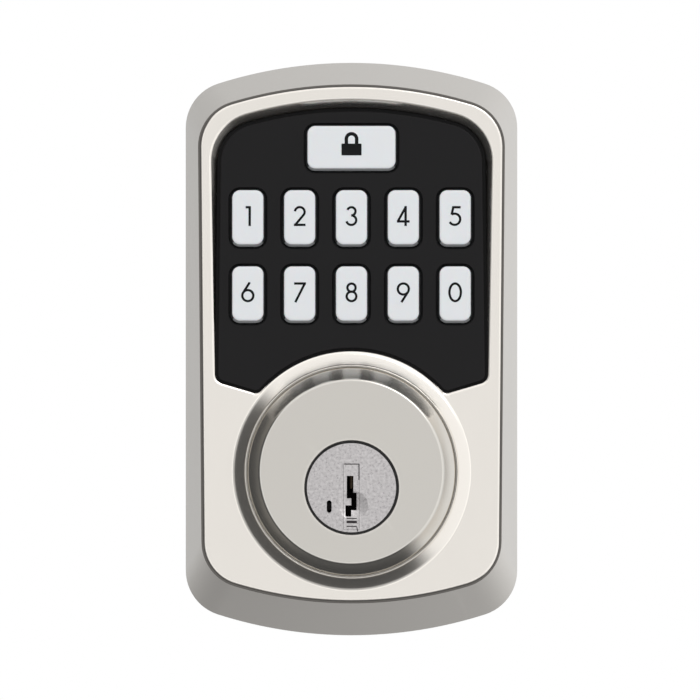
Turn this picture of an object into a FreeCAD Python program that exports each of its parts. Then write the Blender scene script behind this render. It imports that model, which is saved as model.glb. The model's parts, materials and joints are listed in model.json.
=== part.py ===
"""Outside unit of a keypad deadbolt: escutcheon, keypad module, keyed cylinder and tailpiece.

Millimetres and degrees. X is to the right seen from outside the door, Z is up, and the outside faces -Y.
The origin is on the key's axis at the door's face. "Ahead" is the distance from the door's face towards
the outside, so a point 10 ahead has Y = -10. The keypad's pieces are drawn in the keypad's own frame,
which leans back about the line where the panel is flush with the escutcheon's face.
"""

import FreeCAD, Part
import math
import os
from types import SimpleNamespace

import Sketcher

DIMENSIONS = {
    # clearances used all over
    "running_fit": 0.05,
    "hole_clearance": 0.15,
    "touch_gap": 0.1,
    "overrun": 1.0,
    "embed": 0.5,
    # escutcheon
    "case_drop": 33.8,
    "crown_radius": 100.0,
    "sole_radius": 100.0,
    "corner_radius": 10.5,
    "face_depth": 25.0,
    "face_inset_top": 3.1,
    "face_inset_foot": 3.9,
    "skirt_top": 5.4,
    "skirt_foot": 7.9,
    "face_chamfer": 0.4,
    "case_wall": 2.2,
    "face_wall": 2.2,
    "window_stock": 5.5,
    # keypad window
    "keypad_foot": 20.5,
    "keypad_tilt": 2.0,
    "window_crown": 88.0,
    "window_spread": 0.6,
    "window_corner": 9.4,
    "window_side_gap": 3.05,
    "window_top_gap": 3.9,
    "rim_top": 5.15,
    "rim_side": 2.85,
    "chin_height": 25.6,
    "chin_radius": 2.2,
    "cusp_half": 21.75,
    "cusp_radius": 2.0,
    "window_ring": 27.3,
    "recess_rise": 4.0,
    "recess_reach": 3.4,
    "lip_thickness": 1.0,
    # keypad module
    "panel_gap": 0.65,
    "panel_bevel": 0.5,
    "flange_reach": 1.0,
    "flange_thickness": 1.2,
    "seal_thickness": 0.5,
    "module_clearance": 0.3,
    "key_pitch_x": 11.75,
    "ring_row_gap": 6.395,
    "row_gap": 4.35,
    "lock_row_gap": 4.275,
    "key_wide": 7.7,
    "key_high": 12.95,
    "key_corner": 2.1,
    "lock_key_wide": 20.6,
    "lock_key_high": 10.3,
    "key_clearance": 0.45,
    "key_draft": 0.35,
    "key_proud": 1.3,
    "key_brim": 1.05,
    "key_brim_thickness": 1.0,
    "key_travel": 0.8,
    "pad_height": 0.85,
    "pad_inset": 0.5,
    "pad_corner": 1.9,
    "mat_thickness": 0.8,
    "mat_inset": 0.7,
    "dome_radius": 2.5,
    "dome_height": 0.35,
    "board_thickness": 1.2,
    "led_wide": 1.6,
    "led_high": 0.8,
    "led_thickness": 0.5,
    "led_rise": 4.2,
    "led_room": 0.6,
    "chip_size": 8.0,
    "chip_thickness": 0.9,
    "radio_wide": 13.0,
    "radio_high": 17.0,
    "radio_thickness": 2.0,
    "header_wide": 10.0,
    "header_high": 4.5,
    "header_depth": 4.5,
    "header_wall": 0.8,
    "cover_wall": 1.3,
    "cover_reach": 0.6,
    "cover_room": 4.8,
    "ear_half": 3.0,
    "ear_thickness": 1.5,
    "ear_setback": 6.0,
    "ear_x": 27.5,
    "ear_height": 17.5,
    "ear_length": 10.2,
    "ear_boss_radius": 2.6,
    "ear_hole_end": 2.7,
    # collar and cylinder guard
    "guard_rise": 3.63,
    "collar_bore": 24.0,
    "collar_lip": 1.2,
    "collar_height": 2.0,
    "flare_radius": 2.0,
    "guard_clearance": 0.3,
    "guard_face": 31.0,
    "guard_face_radius": 20.9,
    "guard_shoulder": 0.2,
    "guard_wall": 2.5,
    "guard_brim": 1.4,
    "guard_brim_thickness": 1.5,
    "guard_hole": 10.7,
    # keyed cylinder
    "plug_radius": 10.1,
    "plug_face": 30.6,
    "plug_tail": 3.0,
    "journal_radius": 8.0,
    "cylinder_radius": 14.6,
    "cylinder_rise": 1.8,
    "cylinder_back_wall": 1.4,
    "clip_room": 2.8,
    "clip_room_radius": 11.6,
    "clip_thickness": 1.0,
    "clip_radius": 10.8,
    "clip_groove": 0.7,
    "keyway_top": 2.7,
    "keyway_end": 7.6,
    "pin_pitch": 3.81,
    "first_pin": 6.3,
    "pin_radius": 1.4,
    "pin_length": 5.1,
    "pin_foot": -0.9,
    "pin_travel": 2.4,
    "pin_slot_end": 8.7,
    "rack_inner": 1.65,
    "rack_wide": 1.5,
    "rack_deep": 1.4,
    "rack_foot": -0.6,
    "rack_length": 5.6,
    "rack_room": 0.25,
    "spring_wire": 0.25,
    "spring_radius": 0.95,
    "spring_cover_wide": 3.4,
    "spring_cover_thickness": 1.0,
    "spring_cover_room": 4.0,
    "spring_cover_margin": 0.4,
    "sidebar_inner": 8.3,
    "sidebar_deep": 1.6,
    "sidebar_high": 2.0,
    "sidebar_slack": 0.3,
    "sidebar_length": 18.0,
    "sidebar_start": 8.4,
    "sidebar_travel": 0.7,
    "sidebar_spring_radius": 0.55,
    "sidebar_spring_wire": 0.16,
    "reset_x": -5.06,
    "reset_height": -4.26,
    "reset_wide": 1.1,
    "reset_high": 2.8,
    "reset_start": 14.0,
    "reset_length": 12.0,
    "reset_travel": 1.5,
    "reset_room": 3.4,
    "insert_left": 1.8,
    "insert_right": 1.75,
    "insert_top": 5.4,
    "insert_foot": 9.4,
    "insert_depth": 2.8,
    "dimple_x": 0.43,
    "dimple_height": -4.0,
    "dimple_radius": 3.3,
    "dimple_depth": 0.9,
    "drill_pin_radius": 1.2,
    "drill_pin_length": 10.0,
    "drill_pin_x": 5.2,
    "drill_pin_height": 12.2,
    "tail_wide": 2.2,
    "tail_high": 6.4,
    "tail_reach": 57.0,
    "tail_socket": 9.4,
    "tail_pin_radius": 0.8,
    "tail_pin_set": 1.2,
    # back plate, posts and fasteners
    "gasket_thickness": 1.6,
    "plate_thickness": 1.2,
    "plate_clearance": 1.2,
    "plate_hole": 9.0,
    "gasket_hole": 25.0,
    "post_spacing": 38.1,
    "post_radius": 3.4,
    "post_head": 4.2,
    "post_head_thickness": 2.0,
    "post_reach": 12.0,
    "post_bore": 2.1,
    "outlet_height": 22.4,
    "outlet_radius": 4.1,
    "grommet_bore": 3.2,
    "grommet_brim": 0.8,
    "grommet_brim_thickness": 0.9,
    "plate_boss_radius": 3.0,
    "gasket_screw_room": 0.2,
    "top_boss_inset": 6.55,
    "top_boss_drop": 12.4,
    "top_boss_length": 8.4,
    "foot_boss_x": 22.0,
    "foot_boss_rise": 14.3,
    "plate_screw_radius": 1.25,
    "plate_screw_head": 2.2,
    "plate_screw_length": 7.0,
    "screw_head_thickness": 1.2,
    "cylinder_screw_x": 6.5,
    "cylinder_screw_height": 12.0,
    "small_screw_radius": 1.0,
    "small_screw_head": 1.9,
    "module_screw_length": 4.6,
    "cover_screw_length": 9.0,
    "cover_boss_radius": 1.6,
    "cover_boss_room": 0.3,
    "cover_screw_drop": 12.5,
    "recess_long": 2.2,
    "recess_short": 0.56,
    "recess_depth": 0.6,
}


class Size:
    """A length or angle: the number that it has now, and the formula that keeps it tied to the sheet."""

    def __init__(self, number, formula):
        self.number = number
        self.formula = formula

    def __add__(self, other):
        other = as_size(other)
        return Size(self.number + other.number, f"({self.formula} + {other.formula})")

    def __sub__(self, other):
        other = as_size(other)
        return Size(self.number - other.number, f"({self.formula} - {other.formula})")

    def __mul__(self, other):
        other = as_size(other)
        return Size(self.number * other.number, f"({self.formula} * {other.formula})")

    def __truediv__(self, other):
        other = as_size(other)
        return Size(self.number / other.number, f"({self.formula} / {other.formula})")

    def __neg__(self):
        return Size(-self.number, f"(0 - {self.formula})")

    __radd__ = __add__
    __rmul__ = __mul__

    def __rsub__(self, other):
        return as_size(other) - self


def as_size(value):
    """The value itself if it is a Size already, or a plain number as a Size."""
    return value if isinstance(value, Size) else Size(float(value), f"({float(value)})")


def root(size):
    return Size(math.sqrt(size.number), f"sqrt({size.formula})")


def sine(angle):
    return Size(math.sin(math.radians(angle.number)), f"sin({angle.formula})")


def cosine(angle):
    return Size(math.cos(math.radians(angle.number)), f"cos({angle.formula})")


def bind(item, path, size):
    """Tie one property of a document object to the formula of a size."""
    item.setExpression(path, as_size(size).formula)


NONE = as_size(0)
FORWARD = FreeCAD.Rotation(FreeCAD.Vector(1, 0, 0), 90)
UPWARD = FreeCAD.Rotation()
ACROSS = FreeCAD.Rotation(FreeCAD.Vector(0, 1, 0), 90)

document = FreeCAD.newDocument("keypad_deadbolt")


def make_sheet():
    """Put the driving dimensions in a spreadsheet, and give them back as sizes."""
    sheet = document.addObject("Spreadsheet::Sheet", "Sizes")
    for row, (name, value) in enumerate(DIMENSIONS.items(), 1):
        sheet.set(f"A{row}", name)
        sheet.set(f"B{row}", str(value))
        sheet.setAlias(f"B{row}", name)
    document.recompute()
    return SimpleNamespace(**{name: Size(value, f"Sizes.{name}") for name, value in DIMENSIONS.items()})


size = make_sheet()
sub_parts = []

# the keypad stacks up from the cylinder's guard, and the case goes round it
size.key_row_foot = size.guard_rise + size.window_ring + size.ring_row_gap + size.key_high / 2
size.key_row_top = size.key_row_foot + size.key_high + size.row_gap
size.lock_key_height = size.key_row_top + size.key_high / 2 + size.lock_row_gap + size.lock_key_high / 2
size.window_top = size.lock_key_height + size.lock_key_high / 2 + size.window_top_gap
size.window_half_top = size.key_pitch_x * 2 + size.key_wide / 2 + size.window_side_gap
size.window_half_foot = size.window_half_top + size.window_spread
size.case_top = size.window_top + size.rim_top + size.skirt_top
size.case_width = (size.window_half_foot + size.rim_side + size.face_inset_foot) * 2


# ---------------------------------------------------------------- outlines


class Outline:
    """A closed shape, counter-clockwise: round corners joined by tangent lines or by wide arcs.

    corners holds (x, up, radius). joins holds what follows each corner: None for a straight line, or
    (x, up, radius, hollow) for a wide arc, where hollow is true if the arc curves into the shape.
    """

    def __init__(self, corners, joins):
        self.corners = [tuple(as_size(value) for value in corner) for corner in corners]
        self.joins = joins

    def grown(self, by):
        """The same shape with its edge moved outwards everywhere."""
        corners = [(x, up, radius + by) for x, up, radius in self.corners]
        joins = []
        for join in self.joins:
            if join is None:
                joins.append(None)
                continue
            x, up, radius, hollow = join
            joins.append((x, up, radius - by if hollow else radius + by, hollow))
        return Outline(corners, joins)


def edge_normals(first, second, join):
    """Outward unit normals where the edge between two corners leaves the first and meets the second."""
    start = FreeCAD.Vector(first[0].number, first[1].number, 0)
    end = FreeCAD.Vector(second[0].number, second[1].number, 0)
    if join is None:
        along = (end - start).normalize()
        outward = FreeCAD.Vector(along.y, -along.x, 0)
        lean = (first[2].number - second[2].number) / (end - start).Length
        normal = along * lean + outward * math.sqrt(1 - lean * lean)
        return normal, normal
    centre = FreeCAD.Vector(join[0].number, join[1].number, 0)
    sign = -1 if join[3] else 1
    return (start - centre).normalize() * sign, (end - centre).normalize() * sign


def corner_point(corner, normal):
    return FreeCAD.Vector(corner[0].number, corner[1].number, 0) + normal * corner[2].number


def arc_about(centre, radius, start, end):
    """The shorter arc about a centre between two points."""
    middle = ((start - centre) + (end - centre)).normalize() * radius
    return Part.Arc(start, centre + middle, end)


def bind_constraint(sketch, constraint, value):
    index = sketch.addConstraint(constraint)
    bind(sketch, f"Constraints[{index}]", value)


def bind_point(sketch, geometry, point, x, up):
    """Hold one point of a sketch at a place given by two sizes."""
    if x.number == 0:
        sketch.addConstraint(Sketcher.Constraint("PointOnObject", geometry, point, -2))
    else:
        bind_constraint(sketch, Sketcher.Constraint("DistanceX", -1, 1, geometry, point, x.number), x)
    if up.number == 0:
        sketch.addConstraint(Sketcher.Constraint("PointOnObject", geometry, point, -1))
    else:
        bind_constraint(sketch, Sketcher.Constraint("DistanceY", -1, 1, geometry, point, up.number), up)


def end_near(sketch, geometry, point):
    """Which end of an edge lies at the point: 1 for its start, 2 for its end."""
    return 1 if sketch.getPoint(geometry, 1).distanceToPoint(point) < 1e-6 else 2


def draw_outline(sketch, outline):
    """Draw an outline in a sketch, with its centres and radii tied to the sheet."""
    corners, joins = outline.corners, outline.joins
    count = len(corners)
    normals = [edge_normals(corners[i], corners[(i + 1) % count], joins[i]) for i in range(count)]
    knots = []
    for i, corner in enumerate(corners):
        following = corners[(i + 1) % count]
        arrive = corner_point(corner, normals[i - 1][1])
        leave = corner_point(corner, normals[i][0])
        land = corner_point(following, normals[i][1])
        centre = FreeCAD.Vector(corner[0].number, corner[1].number, 0)
        bend = sketch.addGeometry(arc_about(centre, corner[2].number, arrive, leave))
        bind_point(sketch, bend, 3, corner[0], corner[1])
        bind_constraint(sketch, Sketcher.Constraint("Radius", bend, corner[2].number), corner[2])
        if joins[i] is None:
            edge = sketch.addGeometry(Part.LineSegment(leave, land))
        else:
            x, up, radius, _ = joins[i]
            middle = FreeCAD.Vector(x.number, up.number, 0)
            edge = sketch.addGeometry(arc_about(middle, radius.number, leave, land))
            bind_constraint(sketch, Sketcher.Constraint("Radius", edge, radius.number), radius)
        knots.append((bend, edge, leave))
        knots.append((edge, (bend + 2) % (2 * count), land))
    for one, other, point in knots:
        ends = end_near(sketch, one, point), end_near(sketch, other, point)
        sketch.addConstraint(Sketcher.Constraint("Tangent", one, ends[0], other, ends[1]))


def draw_circle(sketch, x, up, radius):
    centre = FreeCAD.Vector(x.number, up.number, 0)
    ring = sketch.addGeometry(Part.Circle(centre, FreeCAD.Vector(0, 0, 1), radius.number))
    bind_point(sketch, ring, 3, x, up)
    bind_constraint(sketch, Sketcher.Constraint("Radius", ring, radius.number), radius)


def draw_polygon(sketch, points):
    """Draw a closed polygon with every corner tied to the sheet."""
    places = [FreeCAD.Vector(a.number, b.number, 0) for a, b in points]
    count = len(points)
    for i in range(count):
        line = sketch.addGeometry(Part.LineSegment(places[i], places[(i + 1) % count]))
        bind_point(sketch, line, 1, *points[i])
    for i in range(count):
        sketch.addConstraint(Sketcher.Constraint("Coincident", i, 2, (i + 1) % count, 1))


def rounded_rectangle(x, up, wide, high, radius):
    """An upright rectangle with round corners, by its centre and its full width and height."""
    reach_x = wide / 2 - radius
    reach_up = high / 2 - radius
    corners = [
        (x - reach_x, up - reach_up, radius),
        (x + reach_x, up - reach_up, radius),
        (x + reach_x, up + reach_up, radius),
        (x - reach_x, up + reach_up, radius),
    ]
    return Outline(corners, [None] * 4)


def case_outline(ahead):
    """The escutcheon's outer edge at a distance ahead of the door."""
    share = as_size(ahead) / size.face_depth
    half_top = size.case_width / 2 - size.face_inset_top * share
    half_foot = size.case_width / 2 - size.face_inset_foot * share
    top = size.case_top - size.skirt_top * share
    foot = size.case_drop - size.skirt_foot * share
    crown = size.crown_radius - size.skirt_top * share
    sole = size.sole_radius - size.skirt_foot * share
    radius = size.corner_radius
    top_x = half_top - radius
    foot_x = half_foot - radius
    top_up = top - crown + root((crown - radius) * (crown - radius) - top_x * top_x)
    foot_up = sole - foot - root((sole - radius) * (sole - radius) - foot_x * foot_x)
    corners = [
        (-foot_x, foot_up, radius),
        (foot_x, foot_up, radius),
        (top_x, top_up, radius),
        (-top_x, top_up, radius),
    ]
    joins = [(NONE, sole - foot, sole, False), None, (NONE, top - crown, crown, False), None]
    return Outline(corners, joins)


def chin_outline(ahead, top):
    """The lower part of the same edge, cut off level at a height."""
    whole = case_outline(ahead)
    left, right = whole.corners[:2]
    radius = size.corner_radius
    corners = [left, right, (right[0], top - radius, radius), (left[0], top - radius, radius)]
    return Outline(corners, [whole.joins[0], None, None, None])


def window_outline():
    """The keypad window's edge on the panel's surface, in the keypad's own frame."""
    crown_up = size.window_top - size.keypad_foot - size.window_crown
    top_x = size.window_half_top - size.window_corner
    bow = size.window_crown - size.window_corner
    top_up = crown_up + root(bow * bow - top_x * top_x)
    chin_x = size.window_half_foot - size.chin_radius
    chin_up = size.chin_height - size.keypad_foot
    ring_up = size.guard_rise - size.keypad_foot
    reach = size.window_ring + size.cusp_radius
    cusp_up = ring_up + root(reach * reach - size.cusp_half * size.cusp_half)
    corners = [
        (size.cusp_half, cusp_up, size.cusp_radius),
        (chin_x, chin_up, size.chin_radius),
        (top_x, top_up, size.window_corner),
        (-top_x, top_up, size.window_corner),
        (-chin_x, chin_up, size.chin_radius),
        (-size.cusp_half, cusp_up, size.cusp_radius),
    ]
    joins = [
        None,
        None,
        (NONE, crown_up, size.window_crown, False),
        None,
        None,
        (NONE, ring_up, size.window_ring, True),
    ]
    return Outline(corners, joins)


# ---------------------------------------------------------------- bodies and features


def new_body(label):
    body = document.addObject("PartDesign::Body", label)
    body.Label = label
    sub_parts.append(body)
    return body


def in_keypad_frame(item):
    """Set a piece on the keypad's own frame."""
    item.Placement = FreeCAD.Placement(FreeCAD.Vector(), FreeCAD.Rotation(FreeCAD.Vector(1, 0, 0), -1))
    bind(item, "Placement.Base.y", -size.face_depth)
    bind(item, "Placement.Base.z", size.keypad_foot)
    bind(item, "Placement.Rotation.Angle", -size.keypad_tilt)
    return item


def new_sketch(body, ahead, up=NONE, lean=None, role="XZ_Plane"):
    """A sketch on a plane of the body's own, moved ahead and up, and leant back if need be."""
    sketch = body.newObject("Sketcher::SketchObject", "Sketch")
    plane = next(item for item in body.Origin.OriginFeatures if item.Role == role)
    sketch.AttachmentSupport = [(plane, "")]
    sketch.MapMode = "FlatFace"
    if lean is not None:
        leaning = FreeCAD.Rotation(FreeCAD.Vector(1, 0, 0), -1)
        sketch.AttachmentOffset = FreeCAD.Placement(FreeCAD.Vector(), leaning)
        bind(sketch, "AttachmentOffset.Rotation.Angle", -lean)
    bind(sketch, "AttachmentOffset.Base.y", up)
    bind(sketch, "AttachmentOffset.Base.z", ahead)
    return sketch


def outline_sketch(body, outline, ahead, **where):
    """A sketch of an outline, or an empty one if there is none."""
    sketch = new_sketch(body, as_size(ahead), **where)
    if outline is not None:
        draw_outline(sketch, outline)
    return sketch


def keypad_sketch(body, outline, ahead):
    """A sketch in the escutcheon that lies in the keypad's frame, a distance ahead of its surface."""
    up = size.keypad_foot + sine(size.keypad_tilt) * ahead
    forward = size.face_depth + cosine(size.keypad_tilt) * ahead
    return outline_sketch(body, outline, forward, up=up, lean=size.keypad_tilt)


def feature(body, kind, profile, length=None):
    item = body.newObject(f"PartDesign::{kind}", kind)
    item.Profile = profile
    if length is not None:
        bind(item, "Length", length)
    profile.Visibility = False
    return item


def pad(body, profile, length):
    """Material from a sketch's plane towards the outside."""
    return feature(body, "Pad", profile, length)


def pocket(body, profile, length):
    """A cut from a sketch's plane towards the door."""
    return feature(body, "Pocket", profile, length)


def loft(body, kind, back, *sections):
    item = feature(body, kind, back)
    item.Sections = [(section, [""]) for section in sections]
    item.Ruled = True
    return item


def ring_feature(body, kind, points, up=NONE):
    """A ring about a line along Y, from a profile of (ahead, radius) points."""
    sketch = new_sketch(body, NONE, up=up, role="YZ_Plane")
    draw_polygon(sketch, [(-as_size(ahead), as_size(radius)) for ahead, radius in points])
    item = feature(body, kind, sketch)
    item.ReferenceAxis = (sketch, ["H_Axis"])
    item.Angle = 360
    return item


def place(item, turn, x, up, ahead):
    """Stand a primitive at a place, turned so that its own Z axis points as asked."""
    item.Placement = FreeCAD.Placement(FreeCAD.Vector(), turn)
    bind(item, "Placement.Base.x", x)
    bind(item, "Placement.Base.y", -as_size(ahead))
    bind(item, "Placement.Base.z", up)
    return item


def rod(maker, kind, x, up, ahead, length, radius, turn=FORWARD):
    item = maker(kind)
    bind(item, "Radius", radius)
    bind(item, "Height", length)
    return place(item, turn, x, up, ahead)


def block(maker, kind, x, up, ahead, wide, high, length):
    """A block centred at x and up, from a distance ahead onwards."""
    item = maker(kind)
    bind(item, "Length", wide)
    bind(item, "Width", length)
    bind(item, "Height", high)
    x, up, ahead, wide, high, length = map(as_size, (x, up, ahead, wide, high, length))
    return place(item, UPWARD, x - wide / 2, up - high / 2, ahead + length)


def cone(maker, kind, x, up, ahead, length, back_radius, front_radius):
    item = maker(kind)
    bind(item, "Radius1", back_radius)
    bind(item, "Radius2", front_radius)
    bind(item, "Height", length)
    return place(item, FORWARD, x, up, ahead)


def body_maker(body):
    return lambda kind: body.newObject(f"PartDesign::{kind}", kind)


def part_maker(kind):
    return document.addObject(f"Part::{kind}", kind)


def add_rod(body, *where, **how):
    return rod(body_maker(body), "AdditiveCylinder", *where, **how)


def cut_rod(body, *where, **how):
    return rod(body_maker(body), "SubtractiveCylinder", *where, **how)


def bore_through(body, x, up, back, thickness, radius):
    """A round hole along Y that runs past both faces of what it goes through."""
    cut_rod(body, x, up, back - size.overrun, thickness + size.overrun * 2, radius)


def bore_from_back(body, x, up, back, depth, radius):
    """A round blind hole, open towards the door."""
    cut_rod(body, x, up, back - size.overrun, depth + size.overrun, radius)


def add_block(body, *where):
    return block(body_maker(body), "AdditiveBox", *where)


def cut_block(body, *where):
    return block(body_maker(body), "SubtractiveBox", *where)


def cut_cone(body, *where):
    return cone(body_maker(body), "SubtractiveCone", *where)


def part_rod(*where, **how):
    return rod(part_maker, "Cylinder", *where, **how)


def part_block(*where):
    return block(part_maker, "Box", *where)


def fuse(*items):
    item = part_maker("MultiFuse")
    item.Shapes = list(items)
    return item


def cut(base, tool):
    item = part_maker("Cut")
    item.Base = base
    item.Tool = tool
    return item


def group(label, items):
    """Identical loose pieces in one node."""
    item = part_maker("Compound")
    item.Links = list(items)
    item.Label = label
    sub_parts.append(item)
    return item


def edge_names(item, chosen):
    """The names of a feature's edges that a test picks."""
    document.recompute()
    return [f"Edge{i}" for i, edge in enumerate(item.Shape.Edges, 1) if chosen(edge)]


def dress(body, kind, base, amount, chosen):
    """A fillet or chamfer along the chosen edges of the last feature."""
    item = body.newObject(f"PartDesign::{kind}", kind)
    item.Base = (base, edge_names(base, chosen))
    bind(item, "Radius" if kind == "Fillet" else "Size", amount)
    return item


def lies_ahead(edge, distance):
    """Does the whole edge lie at this distance ahead of its body's own back plane?"""
    box = edge.BoundBox
    return abs(box.YMin + distance.number) < 1e-4 and abs(box.YMax + distance.number) < 1e-4


# ---------------------------------------------------------------- depths that several pieces share

plate_front = size.gasket_thickness + size.plate_thickness
window_floor = size.face_depth - size.window_stock
face_back = size.face_depth - size.face_wall
lip_front = size.face_depth + size.collar_height
seal_back = size.lip_thickness + size.seal_thickness
panel_back = seal_back + size.flange_thickness
brim_front = panel_back + size.touch_gap
brim_back = brim_front + size.key_brim_thickness
mat_front = brim_back + size.touch_gap / 2 + size.pad_height
board_front = mat_front + size.mat_thickness
board_back = board_front + size.board_thickness
cover_front = board_back + size.cover_room
cover_back = cover_front + size.cover_wall
board_inset = size.mat_inset + size.module_clearance
guard_back = window_floor - size.touch_gap - size.guard_brim_thickness
cylinder_front = size.guard_face - size.guard_wall
clip_wall_back = plate_front + size.clip_room
clip_wall_front = clip_wall_back + size.cylinder_back_wall
top_boss_x = size.case_width / 2 - size.top_boss_inset
top_boss_up = size.case_top - size.top_boss_drop
foot_boss_up = size.foot_boss_rise - size.case_drop
plate_bosses = [
    (top_boss_x, top_boss_up),
    (-top_boss_x, top_boss_up),
    (size.foot_boss_x, foot_boss_up),
    (-size.foot_boss_x, foot_boss_up),
]

ear_up = size.ear_height - size.keypad_foot

COLUMNS = (-2, -1, 0, 1, 2)
KEY_PLACES = {
    f"key_{digit}": (size.key_pitch_x * column, row - size.keypad_foot)
    for row, digits in ((size.key_row_top, "12345"), (size.key_row_foot, "67890"))
    for column, digit in zip(COLUMNS, digits)
}
LOCK_KEY_PLACE = (NONE, size.lock_key_height - size.keypad_foot)
ALL_PLACES = [*KEY_PLACES.values(), LOCK_KEY_PLACE]
COVER_SCREWS = [
    (size.key_pitch_x * 2, size.key_row_foot - size.keypad_foot - size.cover_screw_drop),
    (-size.key_pitch_x * 2, size.key_row_foot - size.keypad_foot - size.cover_screw_drop),
    (size.key_pitch_x * 1.5, LOCK_KEY_PLACE[1]),
    (-size.key_pitch_x * 1.5, LOCK_KEY_PLACE[1]),
]


# ---------------------------------------------------------------- escutcheon


def hollow_case(body):
    """Clear the room behind the face, and the lower chin's room right up to the face's own wall."""
    wall = -size.case_wall
    back = outline_sketch(body, case_outline(0).grown(wall), 0)
    front = outline_sketch(body, case_outline(window_floor).grown(wall), window_floor)
    loft(body, "SubtractiveLoft", back, front)
    chin_top = size.keypad_foot - size.touch_gap * 2
    chin_back = window_floor - size.overrun
    chin_wall = wall - size.touch_gap
    back = outline_sketch(body, chin_outline(chin_back, chin_top).grown(chin_wall), chin_back)
    front = outline_sketch(body, chin_outline(face_back, chin_top).grown(chin_wall), face_back)
    loft(body, "SubtractiveLoft", back, front)


def cut_window(body):
    """The keypad window: sloping recess wall, thin lip and the module's room behind it."""
    window = window_outline()
    edge = keypad_sketch(body, window, NONE)
    mouth = keypad_sketch(body, window.grown(size.recess_reach), size.recess_rise)
    loft(body, "SubtractiveLoft", edge, mouth)
    pocket(body, keypad_sketch(body, window, size.touch_gap), size.lip_thickness * 2)
    room = window.grown(size.flange_reach + size.module_clearance)
    pocket(body, keypad_sketch(body, room, -size.lip_thickness), cover_back)


def add_bosses(body):
    """Tapped bosses for the back plate's screws, and two that hold the keypad module's ears."""
    for x, up in plate_bosses[:2]:
        add_rod(body, x, up, plate_front, size.top_boss_length, size.plate_boss_radius)
    for x, up in plate_bosses[2:]:
        add_rod(body, x, up, plate_front, face_back - plate_front + size.embed, size.plate_boss_radius)
    for x, up in plate_bosses:
        bore_from_back(body, x, up, plate_front, size.plate_screw_length, size.plate_screw_radius)
    ear_boss_back = size.face_depth - size.ear_setback + size.touch_gap * 2
    ear_boss_length = face_back + size.embed - ear_boss_back
    for x in (size.ear_x, -size.ear_x):
        add_rod(body, x, size.ear_height, ear_boss_back, ear_boss_length, size.ear_boss_radius)
        hole = keypad_sketch(body, None, -size.ear_hole_end)
        draw_circle(hole, x, ear_up, size.small_screw_radius)
        pocket(body, hole, size.ear_setback - size.ear_hole_end + size.overrun)


def make_housing():
    """The cast escutcheon: sloping skirt, flat face, keypad window, flared collar and screw bosses."""
    body = new_body("escutcheon_housing")
    back = outline_sketch(body, case_outline(0), 0)
    edge_ahead = size.face_depth - size.face_chamfer
    edge = outline_sketch(body, case_outline(edge_ahead), edge_ahead)
    face = outline_sketch(body, case_outline(size.face_depth).grown(-size.face_chamfer), size.face_depth)
    loft(body, "AdditiveLoft", back, edge, face)
    hollow_case(body)
    cut_window(body)
    inner = size.collar_bore
    lip = inner + size.collar_lip
    tube = size.window_ring - size.flange_reach - size.module_clearance - size.touch_gap
    ring_feature(
        body,
        "Revolution",
        [(window_floor, inner), (window_floor, tube), (face_back, tube), (face_back, lip), (lip_front, lip),
         (lip_front, inner)],
        up=size.guard_rise,
    )
    add_flare(body, lip)
    bore_through(body, NONE, size.guard_rise, window_floor, size.window_stock + size.collar_height, inner)
    add_bosses(body)


def add_flare(body, lip):
    """The hollow quarter-round that sweeps from the face up to the collar's lip."""
    sketch = new_sketch(body, NONE, up=size.guard_rise, role="YZ_Plane")
    outer = lip + size.flare_radius
    low = size.face_depth - size.embed
    points = [(lip_front, lip), (low, lip), (low, outer), (size.face_depth, outer)]
    places = [FreeCAD.Vector(-ahead.number, radius.number, 0) for ahead, radius in points]
    for i in range(3):
        line = sketch.addGeometry(Part.LineSegment(places[i], places[i + 1]))
        bind_point(sketch, line, 1, -points[i][0], points[i][1])
    bind_point(sketch, 2, 2, -points[3][0], points[3][1])
    centre = FreeCAD.Vector(-lip_front.number, outer.number, 0)
    arc = sketch.addGeometry(arc_about(centre, size.flare_radius.number, places[3], places[0]))
    for i in range(2):
        sketch.addConstraint(Sketcher.Constraint("Coincident", i, 2, i + 1, 1))
    sketch.addConstraint(Sketcher.Constraint("Coincident", arc, end_near(sketch, arc, places[3]), 2, 2))
    sketch.addConstraint(Sketcher.Constraint("Coincident", arc, end_near(sketch, arc, places[0]), 0, 1))
    bind_constraint(sketch, Sketcher.Constraint("Radius", arc, size.flare_radius.number), size.flare_radius)
    item = feature(body, "Revolution", sketch)
    item.ReferenceAxis = (sketch, ["H_Axis"])
    item.Angle = 360


def make_guard():
    """The steel cup round the cylinder: flat face, coned flank and a brim trapped behind the collar."""
    body = new_body("cylinder_guard")
    outer = size.collar_bore - size.guard_clearance
    inner = outer - size.guard_wall
    brim = outer + size.guard_brim
    brim_ahead = guard_back + size.guard_brim_thickness
    shoulder = lip_front + size.guard_shoulder
    inside = size.guard_face - size.guard_wall
    ring_feature(
        body,
        "Revolution",
        [(guard_back, inner), (guard_back, brim), (brim_ahead, brim), (brim_ahead, outer), (shoulder, outer),
         (size.guard_face, size.guard_face_radius), (size.guard_face, 0), (inside, 0),
         (inside, size.guard_face_radius - size.guard_wall), (shoulder, inner)],
        up=size.guard_rise,
    )
    bore_through(body, NONE, NONE, inside, size.guard_wall, size.guard_hole)


# ---------------------------------------------------------------- keypad module


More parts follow.
